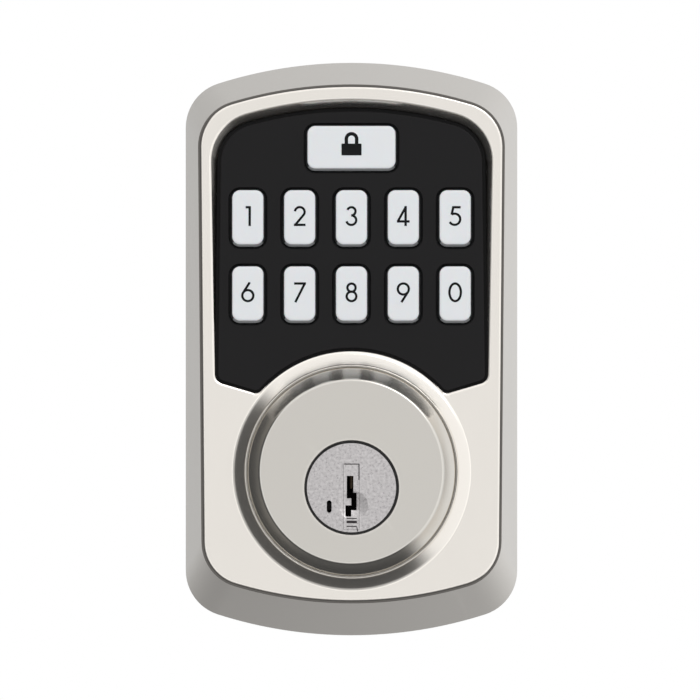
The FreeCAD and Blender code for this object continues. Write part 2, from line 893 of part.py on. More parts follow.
def make_panel():
    """The black panel: bevelled front, flange behind the window's lip, key openings and screw bosses."""
    body = in_keypad_frame(new_body("keypad_panel"))
    window = window_outline()
    front = pad(body, outline_sketch(body, window.grown(-size.panel_gap), -seal_back), seal_back)
    dress(body, "Chamfer", front, size.panel_bevel, lambda edge: lies_ahead(edge, NONE))
    pad(body, outline_sketch(body, window.grown(size.flange_reach), -panel_back), size.flange_thickness)
    wide = size.key_wide + size.key_clearance * 2
    high = size.key_high + size.key_clearance * 2
    radius = size.key_corner + size.key_clearance
    for row in (size.key_row_top, size.key_row_foot):
        shape = rounded_rectangle(size.key_pitch_x * COLUMNS[0], row - size.keypad_foot, wide, high, radius)
        sketch = outline_sketch(body, shape, size.touch_gap)
        opening = pocket(body, sketch, panel_back + size.overrun)
        pattern = body.newObject("PartDesign::LinearPattern", "LinearPattern")
        pattern.Originals = [opening]
        pattern.Direction = (sketch, ["H_Axis"])
        bind(pattern, "Length", size.key_pitch_x * (len(COLUMNS) - 1))
        pattern.Occurrences = len(COLUMNS)
        body.Tip = pattern
    wide = size.lock_key_wide + size.key_clearance * 2
    high = size.lock_key_high + size.key_clearance * 2
    shape = rounded_rectangle(*LOCK_KEY_PLACE, wide, high, radius)
    pocket(body, outline_sketch(body, shape, size.touch_gap), panel_back + size.overrun)
    length = cover_front - panel_back
    for x, up in COVER_SCREWS:
        add_rod(body, x, up, -cover_front, length, size.cover_boss_radius)
        bore_from_back(body, x, up, -cover_front, length, size.small_screw_radius)


def make_key(label, place_at, wide, high):
    """One key cap: drafted body, softened top edge and a brim that stops it behind the panel."""
    body = in_keypad_frame(new_body(label))
    x, up = place_at
    base = rounded_rectangle(x, up, wide, high, size.key_corner)
    brim = base.grown(size.key_brim)
    pad(body, outline_sketch(body, brim, -brim_back), size.key_brim_thickness)
    pad(body, outline_sketch(body, base, -brim_front), brim_front)
    top = outline_sketch(body, base.grown(-size.key_draft), size.key_proud)
    cap = loft(body, "AdditiveLoft", outline_sketch(body, base, 0), top)
    dress(body, "Fillet", cap, size.key_draft, lambda edge: lies_ahead(edge, size.key_proud))


def make_keys():
    for label, place_at in KEY_PLACES.items():
        make_key(label, place_at, size.key_wide, size.key_high)
    make_key("key_lock", LOCK_KEY_PLACE, size.lock_key_wide, size.lock_key_high)


def make_membrane():
    """The silicone mat: a raised pad under each key, hollow behind for the snap dome and the lamp."""
    body = in_keypad_frame(new_body("keypad_membrane"))
    mat = window_outline().grown(-board_inset)
    pad(body, outline_sketch(body, mat, -board_front), size.mat_thickness)
    wide = size.key_wide - size.pad_inset
    high = size.key_high - size.pad_inset
    for x, up in ALL_PLACES:
        shape = rounded_rectangle(x, up, wide, high, size.pad_corner)
        pad(body, outline_sketch(body, shape, -mat_front), size.pad_height)
    dome_room = size.dome_radius + size.touch_gap * 2
    lamp_wide = size.led_wide + size.led_room
    lamp_high = size.led_high + size.led_room
    lamp_deep = size.overrun + size.led_thickness + size.touch_gap * 2
    for x, up in ALL_PLACES:
        bore_from_back(body, x, up, -board_front, size.mat_thickness + size.touch_gap, dome_room)
        cut_block(body, x, up + size.led_rise, -board_front - size.overrun, lamp_wide, lamp_high, lamp_deep)
    for x, up in COVER_SCREWS:
        room = size.cover_boss_radius + size.cover_boss_room
        bore_through(body, x, up, -board_front, size.mat_thickness, room)


def make_board():
    """The circuit board with what is soldered to it."""
    body = in_keypad_frame(new_body("keypad_board"))
    pad(body, outline_sketch(body, window_outline().grown(-board_inset), -board_back), size.board_thickness)
    room = size.cover_boss_radius + size.cover_boss_room
    for x, up in COVER_SCREWS:
        bore_through(body, x, up, -board_back, size.board_thickness, room)
    in_keypad_frame(group("snap_domes", [
        cone(part_maker, "Cone", x, up, -board_front, size.dome_height, size.dome_radius, size.dome_radius / 2)
        for x, up in ALL_PLACES
    ]))
    in_keypad_frame(group("backlight_leds", [
        part_block(x, up + size.led_rise, -board_front, size.led_wide, size.led_high, size.led_thickness)
        for x, up in ALL_PLACES
    ]))
    chip_up = size.key_row_top - size.keypad_foot
    soldered("controller_chip", -size.key_pitch_x, chip_up, size.chip_size, size.chip_size, size.chip_thickness)
    soldered("radio_module", size.key_pitch_x, chip_up, size.radio_wide, size.radio_high, size.radio_thickness)
    soldered("cable_header", NONE, LOCK_KEY_PLACE[1], size.header_wide, size.header_high, size.header_depth)


def soldered(label, x, up, wide, high, thickness):
    """A component on the board's back."""
    body = in_keypad_frame(new_body(label))
    back = -board_back - thickness
    add_block(body, x, up, back, wide, high, thickness)
    if label == "cable_header":
        walls = size.header_wall * 2
        cut_block(body, x, up, back - size.overrun, wide - walls, high - walls, thickness)


def make_seal():
    """The foam strip between the window's lip and the panel's flange."""
    body = in_keypad_frame(new_body("panel_seal"))
    window = window_outline()
    pad(body, outline_sketch(body, window.grown(size.flange_reach), -seal_back), size.seal_thickness)
    pocket(body, outline_sketch(body, window, size.touch_gap), seal_back + size.overrun)


def make_rear_cover():
    """The tray that closes the module, with two ears screwed to the escutcheon."""
    body = in_keypad_frame(new_body("keypad_rear_cover"))
    window = window_outline()
    depth = cover_back - panel_back
    pad(body, outline_sketch(body, window.grown(size.cover_reach), -cover_back), depth)
    ears = (size.ear_x, -size.ear_x)
    ear_back = -size.ear_setback - size.ear_thickness
    ear_middle = ear_up - size.ear_half + size.ear_length / 2
    for x in ears:
        add_block(body, x, ear_middle, ear_back, size.ear_half * 2, size.ear_length, size.ear_thickness)
    inside = outline_sketch(body, window.grown(-size.mat_inset), -panel_back + size.overrun)
    pocket(body, inside, cover_front - panel_back + size.overrun)
    hole = size.small_screw_radius + size.hole_clearance
    for x in ears:
        bore_through(body, x, ear_up, ear_back, size.ear_thickness, hole)
    for x, up in COVER_SCREWS:
        bore_through(body, x, up, -cover_back, size.cover_wall, hole)
    wide = size.header_wide + size.overrun
    high = size.header_high + size.overrun
    through = size.cover_wall + size.overrun * 2
    cut_block(body, NONE, LOCK_KEY_PLACE[1], -cover_back - size.overrun, wide, high, through)


# ---------------------------------------------------------------- keyed cylinder


def make_cylinder():
    """The cylinder's body: plug bore, clip room behind, and slots where the sidebar drops in."""
    body = new_body("lock_cylinder_body")
    length = cylinder_front - plate_front
    add_rod(body, NONE, size.cylinder_rise, plate_front, length, size.cylinder_radius)
    bore = size.plug_radius + size.running_fit
    cut_rod(body, NONE, NONE, clip_wall_front, cylinder_front - clip_wall_front + size.overrun, bore)
    cut_rod(body, NONE, NONE, plate_front, length, size.journal_radius + size.running_fit)
    bore_from_back(body, NONE, NONE, plate_front, size.clip_room, size.clip_room_radius)
    reach = size.sidebar_inner + size.sidebar_deep + size.sidebar_travel + size.touch_gap * 2
    slot = size.sidebar_high + size.sidebar_slack * 2
    start = size.sidebar_start - size.sidebar_slack
    run = size.sidebar_length + size.sidebar_slack * 2
    cut_block(body, reach / 2, NONE, start, reach, slot, run)
    cut_block(body, NONE, NONE, start, slot, reach * 2, run)
    for x in (size.cylinder_screw_x, -size.cylinder_screw_x):
        depth = size.plate_screw_length + size.overrun
        bore_from_back(body, x, size.cylinder_screw_height, plate_front, depth, size.plate_screw_radius)
    hole = size.drill_pin_radius + size.running_fit
    seat = cylinder_front - size.drill_pin_length
    pins = (size.drill_pin_x, -size.drill_pin_x)
    for x in pins:
        cut_rod(body, x, size.drill_pin_height, seat, size.drill_pin_length + size.overrun, hole)
    group("drill_pins", [
        part_rod(x, size.drill_pin_height, seat, size.drill_pin_length, size.drill_pin_radius) for x in pins
    ])


PIN_PLACES = [size.plug_face - size.first_pin - size.pin_pitch * i for i in range(5)]
KEYWAY = (
    # left, right, foot, top of the three offset slots that make the key's zigzag section
    (-1.07, 0.43, -2.4, size.keyway_top),
    (-0.05, 1.16, -5.1, -1.1),
    (-1.38, -0.05, -6.53, -3.99),
)


def cut_keyway(body, start, length):
    for left, right, foot, top in KEYWAY:
        left, right, foot, top = map(as_size, (left, right, foot, top))
        cut_block(body, (left + right) / 2, (foot + top) / 2, start, right - left, top - foot, length)


def cut_dimple(body):
    """The shallow cone round the keyway that guides the key in."""
    where = size.dimple_x, size.dimple_height, size.plug_face - size.dimple_depth
    cut_cone(body, *where, size.dimple_depth, size.touch_gap, size.dimple_radius)


def make_plug():
    """The plug: keyway, five pin chambers with rack slots, sidebar slot, reset slot and tail socket."""
    body = new_body("cylinder_plug")
    shoulder = clip_wall_front + size.running_fit
    add_rod(body, NONE, NONE, shoulder, size.plug_face - shoulder, size.plug_radius)
    add_rod(body, NONE, NONE, -size.plug_tail, shoulder + size.plug_tail, size.journal_radius)
    groove = clip_groove_back()
    groove_front = groove + size.clip_thickness + size.touch_gap
    floor = size.journal_radius - size.clip_groove
    rim = size.journal_radius + size.overrun
    ring_feature(body, "Groove", [(groove, floor), (groove, rim), (groove_front, rim), (groove_front, floor)])
    cut_keyway(body, size.keyway_end, size.plug_face - size.keyway_end + size.overrun)
    cut_dimple(body)
    cut_insert_seat(body)
    for ahead in PIN_PLACES:
        cut_pin_chamber(body, ahead)
    start, run = spring_cover_span()
    wide = size.spring_cover_wide + size.touch_gap
    high = size.spring_cover_room
    middle = size.pin_slot_end + high / 2
    cut_block(body, NONE, middle, start - size.touch_gap, wide, high, run + size.touch_gap * 2)
    inner = size.sidebar_inner - size.sidebar_spring_radius * 2
    reach = size.plug_radius + size.overrun - inner
    high = size.sidebar_high + size.touch_gap
    run = size.sidebar_length + size.touch_gap * 2
    cut_block(body, inner + reach / 2, NONE, size.sidebar_start - size.touch_gap, reach, high, run)
    reset_end = size.reset_start - size.reset_travel - size.reset_room
    cut_reset_slot(body, reset_end, size.plug_face - reset_end + size.overrun)
    wide = size.tail_wide + size.touch_gap
    high = size.tail_high + size.touch_gap
    cut_block(body, NONE, NONE, -size.plug_tail - size.overrun, wide, high, size.tail_socket + size.overrun)
    reach = size.journal_radius * 2 + size.overrun * 2
    hole = size.tail_pin_radius + size.running_fit
    cut_rod(body, -reach / 2, NONE, size.tail_pin_set - size.plug_tail, reach, hole, turn=ACROSS)


def cut_insert_seat(body):
    """The seat in the plug's face for the hard insert round the keyway."""
    top = size.insert_top + size.running_fit
    foot = size.insert_foot + size.running_fit
    left = size.insert_left + size.running_fit
    right = size.insert_right + size.running_fit
    seat = size.plug_face - size.insert_depth - size.running_fit
    deep = size.insert_depth + size.overrun
    cut_block(body, (right - left) / 2, (top - foot) / 2, seat, left + right, top + foot, deep)


def cut_pin_chamber(body, ahead):
    """One upright chamber for a pin and its spring, with the slot beside it for the pin's rack."""
    length = size.pin_slot_end - size.pin_foot + size.running_fit
    chamber = size.pin_radius + size.running_fit
    cut_rod(body, NONE, size.pin_foot - size.running_fit, ahead, length, chamber, turn=UPWARD)
    outer = size.rack_inner + size.rack_deep + size.hole_clearance
    high = size.rack_length + size.pin_travel + size.rack_room * 2
    middle = size.rack_foot - size.rack_room + high / 2
    wide = size.rack_wide + size.touch_gap * 2
    cut_block(body, outer / 2, middle, ahead - wide / 2, outer, high, wide)


def clip_groove_back():
    """How far ahead the clip's groove starts, just behind the cylinder's back wall."""
    return clip_wall_back - size.clip_thickness - size.touch_gap * 2


def spring_cover_span():
    """Where the strip over the pin springs starts, and how long it is."""
    margin = size.pin_radius + size.spring_cover_margin
    start = PIN_PLACES[-1] - margin
    return start, PIN_PLACES[0] + margin - start


def cut_reset_slot(body, start, length):
    radius = size.reset_wide / 2
    straight = size.reset_high - size.reset_wide
    cut_block(body, size.reset_x, size.reset_height, start, size.reset_wide, straight, length)
    for side in (0.5, -0.5):
        cut_rod(body, size.reset_x, size.reset_height + straight * side, start, length, radius)


def make_plug_fittings():
    """The hard insert in the plug's face, the spring cover, the clip and the reset slide."""
    body = new_body("keyway_insert")
    wide = size.insert_left + size.insert_right
    high = size.insert_top + size.insert_foot
    middle_x = (size.insert_right - size.insert_left) / 2
    middle_up = (size.insert_top - size.insert_foot) / 2
    start = size.plug_face - size.insert_depth
    add_block(body, middle_x, middle_up, start, wide, high, size.insert_depth)
    cut_keyway(body, start - size.overrun, size.insert_depth + size.overrun * 2)
    cut_dimple(body)

    body = new_body("spring_cover")
    start, run = spring_cover_span()
    thickness = size.spring_cover_thickness
    add_block(body, NONE, size.pin_slot_end + thickness / 2, start, size.spring_cover_wide, thickness, run)

    body = new_body("plug_clip")
    back = clip_groove_back() + size.running_fit
    inner = size.journal_radius - size.clip_groove + size.running_fit
    through = size.clip_thickness + size.overrun * 2
    mouth = inner * 1.5
    add_rod(body, NONE, NONE, back, size.clip_thickness, size.clip_radius)
    bore_through(body, NONE, NONE, back, size.clip_thickness, inner)
    cut_block(body, NONE, -size.clip_radius / 2, back - size.overrun, mouth, size.clip_radius, through)

    body = new_body("reset_slide")
    slack = size.running_fit * 2
    wide = size.reset_wide - slack
    high = size.reset_high - size.reset_wide - slack
    add_block(body, size.reset_x, size.reset_height, size.reset_start, wide, high, size.reset_length)


def coil_spring(length, radius, wire, turns, turn, x, up, ahead):
    """A coil along its own Z axis, of wire drawn with eight flats."""
    helix = part_maker("Helix")
    bind(helix, "Radius", radius)
    bind(helix, "Height", length - wire)
    bind(helix, "Pitch", (length - wire) / turns)
    ring = part_maker("RegularPolygon")
    ring.Polygon = 8
    bind(ring, "Circumradius", wire / 2)
    ring.Placement = FreeCAD.Placement(FreeCAD.Vector(), FORWARD)
    bind(ring, "Placement.Base.x", radius)
    sweep = part_maker("Sweep")
    sweep.Sections = [ring]
    sweep.Spine = (helix, ["Edge1"])
    sweep.Solid = True
    sweep.Frenet = True
    return place(sweep, turn, x, up, ahead)


def make_tumblers():
    """Five pins with their racks, and the springs above the pins."""
    for number, ahead in enumerate(PIN_PLACES, 1):
        body = new_body(f"tumbler_pin_{number}")
        tip = size.pin_radius / 2
        add_rod(body, NONE, size.pin_foot + tip, ahead, size.pin_length - tip, size.pin_radius, turn=UPWARD)
        item = body.newObject("PartDesign::AdditiveCone", "AdditiveCone")
        bind(item, "Radius1", tip)
        bind(item, "Radius2", size.pin_radius)
        bind(item, "Height", tip)
        place(item, UPWARD, NONE, size.pin_foot, ahead)
        body = new_body(f"tumbler_rack_{number}")
        middle = size.rack_inner + size.rack_deep / 2
        middle_up = size.rack_foot + size.rack_length / 2
        start = ahead - size.rack_wide / 2
        add_block(body, middle, middle_up, start, size.rack_deep, size.rack_length, size.rack_wide)
    foot = size.pin_foot + size.pin_length + size.touch_gap + size.spring_wire / 2
    length = size.pin_slot_end - foot - size.touch_gap
    group("tumbler_springs", [
        coil_spring(length, size.spring_radius, size.spring_wire, 5, UPWARD, NONE, foot, ahead)
        for ahead in PIN_PLACES
    ])


def make_sidebar():
    """The sidebar with the two small springs behind it, and the spring behind the reset slide."""
    body = new_body("sidebar")
    middle = size.sidebar_inner + size.sidebar_deep / 2
    add_block(body, middle, NONE, size.sidebar_start, size.sidebar_deep, size.sidebar_high, size.sidebar_length)
    wire = size.sidebar_spring_wire
    room = size.sidebar_spring_radius * 2 - size.touch_gap * 2
    coil_x = size.sidebar_inner - size.sidebar_spring_radius * 2 + size.touch_gap + wire / 2
    group("sidebar_springs", [
        coil_spring(room, size.sidebar_spring_radius, wire, 3, ACROSS, coil_x, NONE,
                    size.sidebar_start + size.sidebar_length * share)
        for share in (0.25, 0.75)
    ])
    radius = size.reset_wide / 2 - size.touch_gap - wire / 2
    run = size.reset_travel + size.reset_room - size.touch_gap * 2
    start = size.reset_start - size.touch_gap - run + wire / 2
    spring = coil_spring(run, radius, wire, 6, FORWARD, size.reset_x, size.reset_height, start)
    spring.Label = "reset_spring"
    sub_parts.append(spring)


def make_tailpiece():
    """The flat blade that reaches through the door to turn the bolt, and its cross pin."""
    body = new_body("tailpiece")
    back = -size.tail_reach
    front = size.tail_socket - size.plug_tail - size.touch_gap
    add_block(body, NONE, NONE, back, size.tail_wide, size.tail_high, front - back)
    pin_ahead = size.tail_pin_set - size.plug_tail
    hole = size.tail_pin_radius + size.running_fit
    cut_rod(body, -size.tail_wide, NONE, pin_ahead, size.tail_wide * 2, hole, turn=ACROSS)
    body = new_body("tailpiece_pin")
    reach = size.journal_radius * 2 - size.embed
    add_rod(body, -reach / 2, NONE, pin_ahead, reach, size.tail_pin_radius, turn=ACROSS)


# ---------------------------------------------------------------- back plate and fasteners


def make_back():
    """The steel back plate, its threaded posts, the cable grommet and the door gasket."""
    outline = case_outline(0).grown(-size.case_wall - size.plate_clearance)
    posts = [(size.post_spacing / 2, NONE), (-size.post_spacing / 2, NONE)]
    body = new_body("back_plate")
    sheet = size.gasket_thickness, size.plate_thickness
    pad(body, outline_sketch(body, outline, size.gasket_thickness), size.plate_thickness)
    bore_through(body, NONE, NONE, *sheet, size.plate_hole)
    bore_through(body, NONE, size.outlet_height, *sheet, size.outlet_radius + size.running_fit)
    for x, up in posts:
        bore_through(body, x, up, *sheet, size.post_radius + size.running_fit)
    screw_hole = size.plate_screw_radius + size.hole_clearance
    for x, up in plate_bosses:
        bore_through(body, x, up, *sheet, screw_hole)
    for x in (size.cylinder_screw_x, -size.cylinder_screw_x):
        bore_through(body, x, size.cylinder_screw_height, *sheet, screw_hole)

    brim = size.outlet_radius + size.grommet_brim
    body = new_body("door_gasket")
    pad(body, outline_sketch(body, outline.grown(-size.touch_gap), 0), size.gasket_thickness)
    bore_through(body, NONE, NONE, NONE, size.gasket_thickness, size.gasket_hole)
    bore_through(body, NONE, size.outlet_height, NONE, size.gasket_thickness, brim + size.gasket_screw_room)
    for x, up in plate_bosses:
        room = size.plate_screw_head + size.gasket_screw_room
        bore_through(body, x, up, NONE, size.gasket_thickness, room)

    group("mounting_posts", [make_post(x, up) for x, up in posts])

    body = new_body("cable_grommet")
    thickness = size.grommet_brim_thickness
    back = size.gasket_thickness - thickness
    length = size.plate_thickness + thickness * 2
    add_rod(body, NONE, size.outlet_height, back, length, size.outlet_radius)
    add_rod(body, NONE, size.outlet_height, back, thickness, brim)
    add_rod(body, NONE, size.outlet_height, plate_front, thickness, brim)
    bore_through(body, NONE, size.outlet_height, back, length, size.grommet_bore)


def make_post(x, up):
    """One round post through the plate, tapped for the bolt that comes through the door."""
    head = part_rod(x, up, plate_front, size.post_head_thickness, size.post_head)
    stem_length = size.post_reach + plate_front
    stem = part_rod(x, up, -size.post_reach, stem_length, size.post_radius)
    through = stem_length + size.post_head_thickness + size.overrun * 2
    bore = part_rod(x, up, -size.post_reach - size.overrun, through, size.post_bore)
    return cut(fuse(head, stem), bore)


def make_screw(x, up, seat, length, radius, head_radius):
    """A pan-head screw with a cross recess, driven from the door's side up to its seat."""
    head = part_rod(x, up, seat - size.screw_head_thickness, size.screw_head_thickness, head_radius)
    shank = part_rod(x, up, seat, length, radius - size.running_fit)
    recess = seat - size.screw_head_thickness - size.overrun
    depth = size.recess_depth + size.overrun
    upright = part_block(x, up, recess, size.recess_short, size.recess_long, depth)
    level = part_block(x, up, recess, size.recess_long, size.recess_short, depth)
    return cut(fuse(head, shank), fuse(upright, level))


def make_screws():
    radius, head = size.plate_screw_radius, size.plate_screw_head
    length = size.plate_screw_length + size.plate_thickness - size.embed
    group("plate_screws", [
        make_screw(x, up, size.gasket_thickness, length, radius, head) for x, up in plate_bosses
    ])
    group("cylinder_screws", [
        make_screw(x, size.cylinder_screw_height, size.gasket_thickness, length, radius, head)
        for x in (size.cylinder_screw_x, -size.cylinder_screw_x)
    ])
    radius, head = size.small_screw_radius, size.small_screw_head
    in_keypad_frame(group("cover_screws", [
        make_screw(x, up, -cover_back, size.cover_screw_length, radius, head) for x, up in COVER_SCREWS
    ]))
    seat = -size.ear_setback - size.ear_thickness
    in_keypad_frame(group("module_screws", [
        make_screw(x, ear_up, seat, size.module_screw_length, radius, head)
        for x in (size.ear_x, -size.ear_x)
    ]))


def check_and_write():
    """Recompute, refuse anything that failed, and write each sub-part as a STEP file."""
    document.recompute()
    for item in document.Objects:
        if {"Invalid", "Error"} & set(item.State):
            raise RuntimeError(f"{item.Name} in {item.Label} could not be made: {item.State}")
    os.makedirs("parts", exist_ok=True)
    for item in sub_parts:
        shape = item.Shape
        if shape.isNull() or not shape.isValid() or not shape.Solids:
            raise RuntimeError(f"{item.Label} has no sound solid")
        shape.exportStep(f"parts/{item.Label}.step")


make_housing()
make_guard()
make_panel()
make_keys()
make_membrane()
make_board()
make_seal()
make_rear_cover()
make_cylinder()
make_plug()
make_plug_fittings()
make_tumblers()
make_sidebar()
make_tailpiece()
make_back()
make_screws()
check_and_write()
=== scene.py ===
"""Looks of a keypad deadbolt's outside unit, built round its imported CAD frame.

Sizes in the classes are in millimetres and degrees, except in the finishes and the studio, which are in
metres like the scene itself. X is to the right seen from outside the door, Z is up, and the outside faces
-Y. "Ahead" is the distance from the door's face towards the outside, so a point 10 ahead has Y = -10 mm.
The keypad's pieces are placed in the keypad's own frame, which leans back about the line where its panel
is flush with the escutcheon's face.
"""

import json
import logging
import math
from dataclasses import dataclass, field
from enum import Enum
from functools import cache

import bmesh
import bpy
from mathutils import Matrix, Vector


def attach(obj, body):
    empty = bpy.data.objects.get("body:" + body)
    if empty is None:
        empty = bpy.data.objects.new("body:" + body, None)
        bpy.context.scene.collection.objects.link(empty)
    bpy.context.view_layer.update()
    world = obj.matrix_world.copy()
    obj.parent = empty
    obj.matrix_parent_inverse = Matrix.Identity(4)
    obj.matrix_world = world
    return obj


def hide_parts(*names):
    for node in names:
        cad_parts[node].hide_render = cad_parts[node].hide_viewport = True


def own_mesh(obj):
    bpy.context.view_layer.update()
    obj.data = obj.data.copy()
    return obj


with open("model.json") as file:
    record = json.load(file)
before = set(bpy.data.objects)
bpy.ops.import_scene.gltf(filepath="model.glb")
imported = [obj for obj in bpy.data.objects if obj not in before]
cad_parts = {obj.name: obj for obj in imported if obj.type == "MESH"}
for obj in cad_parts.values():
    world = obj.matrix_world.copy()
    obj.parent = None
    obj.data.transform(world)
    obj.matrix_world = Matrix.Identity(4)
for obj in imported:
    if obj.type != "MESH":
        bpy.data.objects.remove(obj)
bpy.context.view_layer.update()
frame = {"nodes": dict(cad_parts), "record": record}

MM = 0.001
# how many steps a circle, a round corner and a wide arc take
ROUND_STEPS = 144
CORNER_STEPS = 12
SWEEP_STEPS = 32
# points that are closer than this, in metres, are one
DOUBLES = 1e-6
# the material slot of every CAD node
SLOTS = {part["node"]: part["material_slot"] for part in frame["record"]["subparts"]}
log = logging.getLogger("keypad_deadbolt")

Thing = bpy.types.Object
Material = bpy.types.Material
Node = bpy.types.Node
Socket = bpy.types.NodeSocket
Ring = list[Vector]
Ramp = Colour = tuple[float, float, float, float]
Pair = tuple[float, float]
Steps = tuple[Pair, ...]
Stroke = tuple[list[Pair], bool]


# ---- outlines


@dataclass(frozen=True)
class Corner:
    """A round corner of an outline, by its centre and radius."""

    x: float
    up: float
    radius: float

    def mirrored(self) -> "Corner":
        """The same corner on the other side of the middle."""
        return Corner(-self.x, self.up, self.radius)


@dataclass(frozen=True)
class Sweep:
    """A wide arc between two corners; a hollow one curves into the shape."""

    x: float
    up: float
    radius: float
    hollow: bool = False


@dataclass(frozen=True)
class Outline:
    """A closed shape, counter-clockwise: round corners joined by tangent lines or wide arcs."""

    corners: tuple[Corner, ...]
    joins: tuple[Sweep | None, ...]

    def grown(self, by: float) -> "Outline":
        """The same shape with its edge moved outwards everywhere.

        Args:
            by: how far, in millimetres.

        Returns:
            The larger outline.
        """
        corners = tuple(Corner(c.x, c.up, c.radius + by) for c in self.corners)
        joins = tuple(
            join and Sweep(join.x, join.up, join.radius + (-by if join.hollow else by), join.hollow)
            for join in self.joins
        )
        return Outline(corners, joins)

    def _normals(self, index: int) -> tuple[Vector, Vector]:
        """Find which way the edge after a corner faces.

        Args:
            index: the corner's number.

        Returns:
            The outward normals where the edge leaves that corner and where it meets the next one.
        """
        first = self.corners[index]
        second = self.corners[(index + 1) % len(self.corners)]
        start, end = Vector((first.x, first.up)), Vector((second.x, second.up))
        join = self.joins[index]
        if join is None:
            along = (end - start).normalized()
            outward = Vector((along.y, -along.x))
            lean = (first.radius - second.radius) / (end - start).length
            normal = along * lean + outward * math.sqrt(1 - lean * lean)
            return normal, normal
        centre = Vector((join.x, join.up))
        sign = -1 if join.hollow else 1
        return (start - centre).normalized() * sign, (end - centre).normalized() * sign

    def samples(self) -> list[tuple[Vector, Vector]]:
        """Points along the outline with their outward normals.

        Returns:
            Pairs of point and normal, both in (x, up).
        """
        found = []
        for index, corner in enumerate(self.corners):
            arrive = self._normals(index - 1)[1]
            leave, land = self._normals(index)
            centre = Vector((corner.x, corner.up))
            for step in range(CORNER_STEPS + 1):
                normal = arrive.slerp(leave, step / CORNER_STEPS)
                found.append((centre + normal * corner.radius, normal))
            join = self.joins[index]
            if join is None:
                continue
            middle = Vector((join.x, join.up))
            sign = -1 if join.hollow else 1
            for step in range(1, SWEEP_STEPS):
                normal = leave.slerp(land, step / SWEEP_STEPS)
                found.append((middle + normal * (join.radius * sign), normal))
        return found

    def ring(self, ahead: float, into: Matrix = Matrix()) -> Ring:
        """The outline as points in metres, a distance ahead, in the frame that a matrix gives."""
        return [into @ (Vector((point.x, -ahead, point.y)) * MM) for point, _ in self.samples()]

    def stack(self, steps: Steps, into: Matrix = Matrix()) -> list[Ring]:
        """A ring for each step, which says how far the outline is grown and how far ahead it stands."""
        return [self.grown(by).ring(ahead, into) for by, ahead in steps]


def round_ring(radius: float, ahead: float, up: float = 0.0) -> Ring:
    """A circle of points in metres about a line along Y, which stands at a height."""
    turn = 2 * math.pi / ROUND_STEPS
    return [
        Vector((radius * math.cos(turn * i), -ahead, up + radius * math.sin(turn * i))) * MM
        for i in range(ROUND_STEPS)
    ]


def soft_edge(radius: float, steps: int) -> list[Pair]:
    """A quarter round on to a face: how far in from the wall, and how far below the face still."""
    turns = [math.pi / 2 * step / steps for step in range(steps + 1)]
    return [(radius * (1 - math.cos(turn)), radius * (1 - math.sin(turn))) for turn in turns]


# ---- modelling bench


def deselect_all() -> None:
    """Leave edit mode and select nothing, so that the next operator acts on its own piece only."""
    if bpy.context.object and bpy.context.object.mode != "OBJECT":
        bpy.ops.object.mode_set(mode="OBJECT")
    bpy.ops.object.select_all(action="DESELECT")


def take(piece: Thing) -> None:
    """Make one object the only selected and active one.

    Args:
        piece: the object.
    """
    deselect_all()
    piece.select_set(True)
    bpy.context.view_layer.objects.active = piece


def placed(name: str, data: bpy.types.ID) -> Thing:
    """A new object in the scene.

    Args:
        name: its name.
        data: its curve, camera or lamp.

    Returns:
        The object.
    """
    piece = bpy.data.objects.new(name, data)
    bpy.context.scene.collection.objects.link(piece)
    return piece


def mesh_of(curve: bpy.types.Curve) -> Thing:
    """Turn a curve into a mesh.

    Args:
        curve: the curve.

    Returns:
        The mesh object, at the origin, unturned and unscaled.
    """
    piece = placed(curve.name, curve)
    take(piece)
    bpy.ops.object.convert(target="MESH")
    settle(piece)
    return piece


def settle(piece: Thing) -> None:
    """Put an object's place, turn and scale into its mesh."""
    take(piece)
    bpy.ops.object.transform_apply(location=True, rotation=True, scale=True)


def close_and_smooth(piece: Thing, angle: float = 40.0) -> None:
    """Merge doubles, point the faces outwards, and smooth all but the sharp edges.

    Args:
        piece: the mesh object.
        angle: edges that turn by more than this many degrees stay sharp.
    """
    take(piece)
    bpy.ops.object.mode_set(mode="EDIT")
    bpy.ops.mesh.select_all(action="SELECT")
    bpy.ops.mesh.remove_doubles(threshold=DOUBLES)
    bpy.ops.mesh.normals_make_consistent(inside=False)
    bpy.ops.object.mode_set(mode="OBJECT")
    bpy.ops.object.shade_smooth_by_angle(angle=math.radians(angle))
    weighted = piece.modifiers.new("Weighted_Normal", "WEIGHTED_NORMAL")
    weighted.keep_sharp = True
    bpy.ops.object.modifier_apply(modifier=weighted.name)


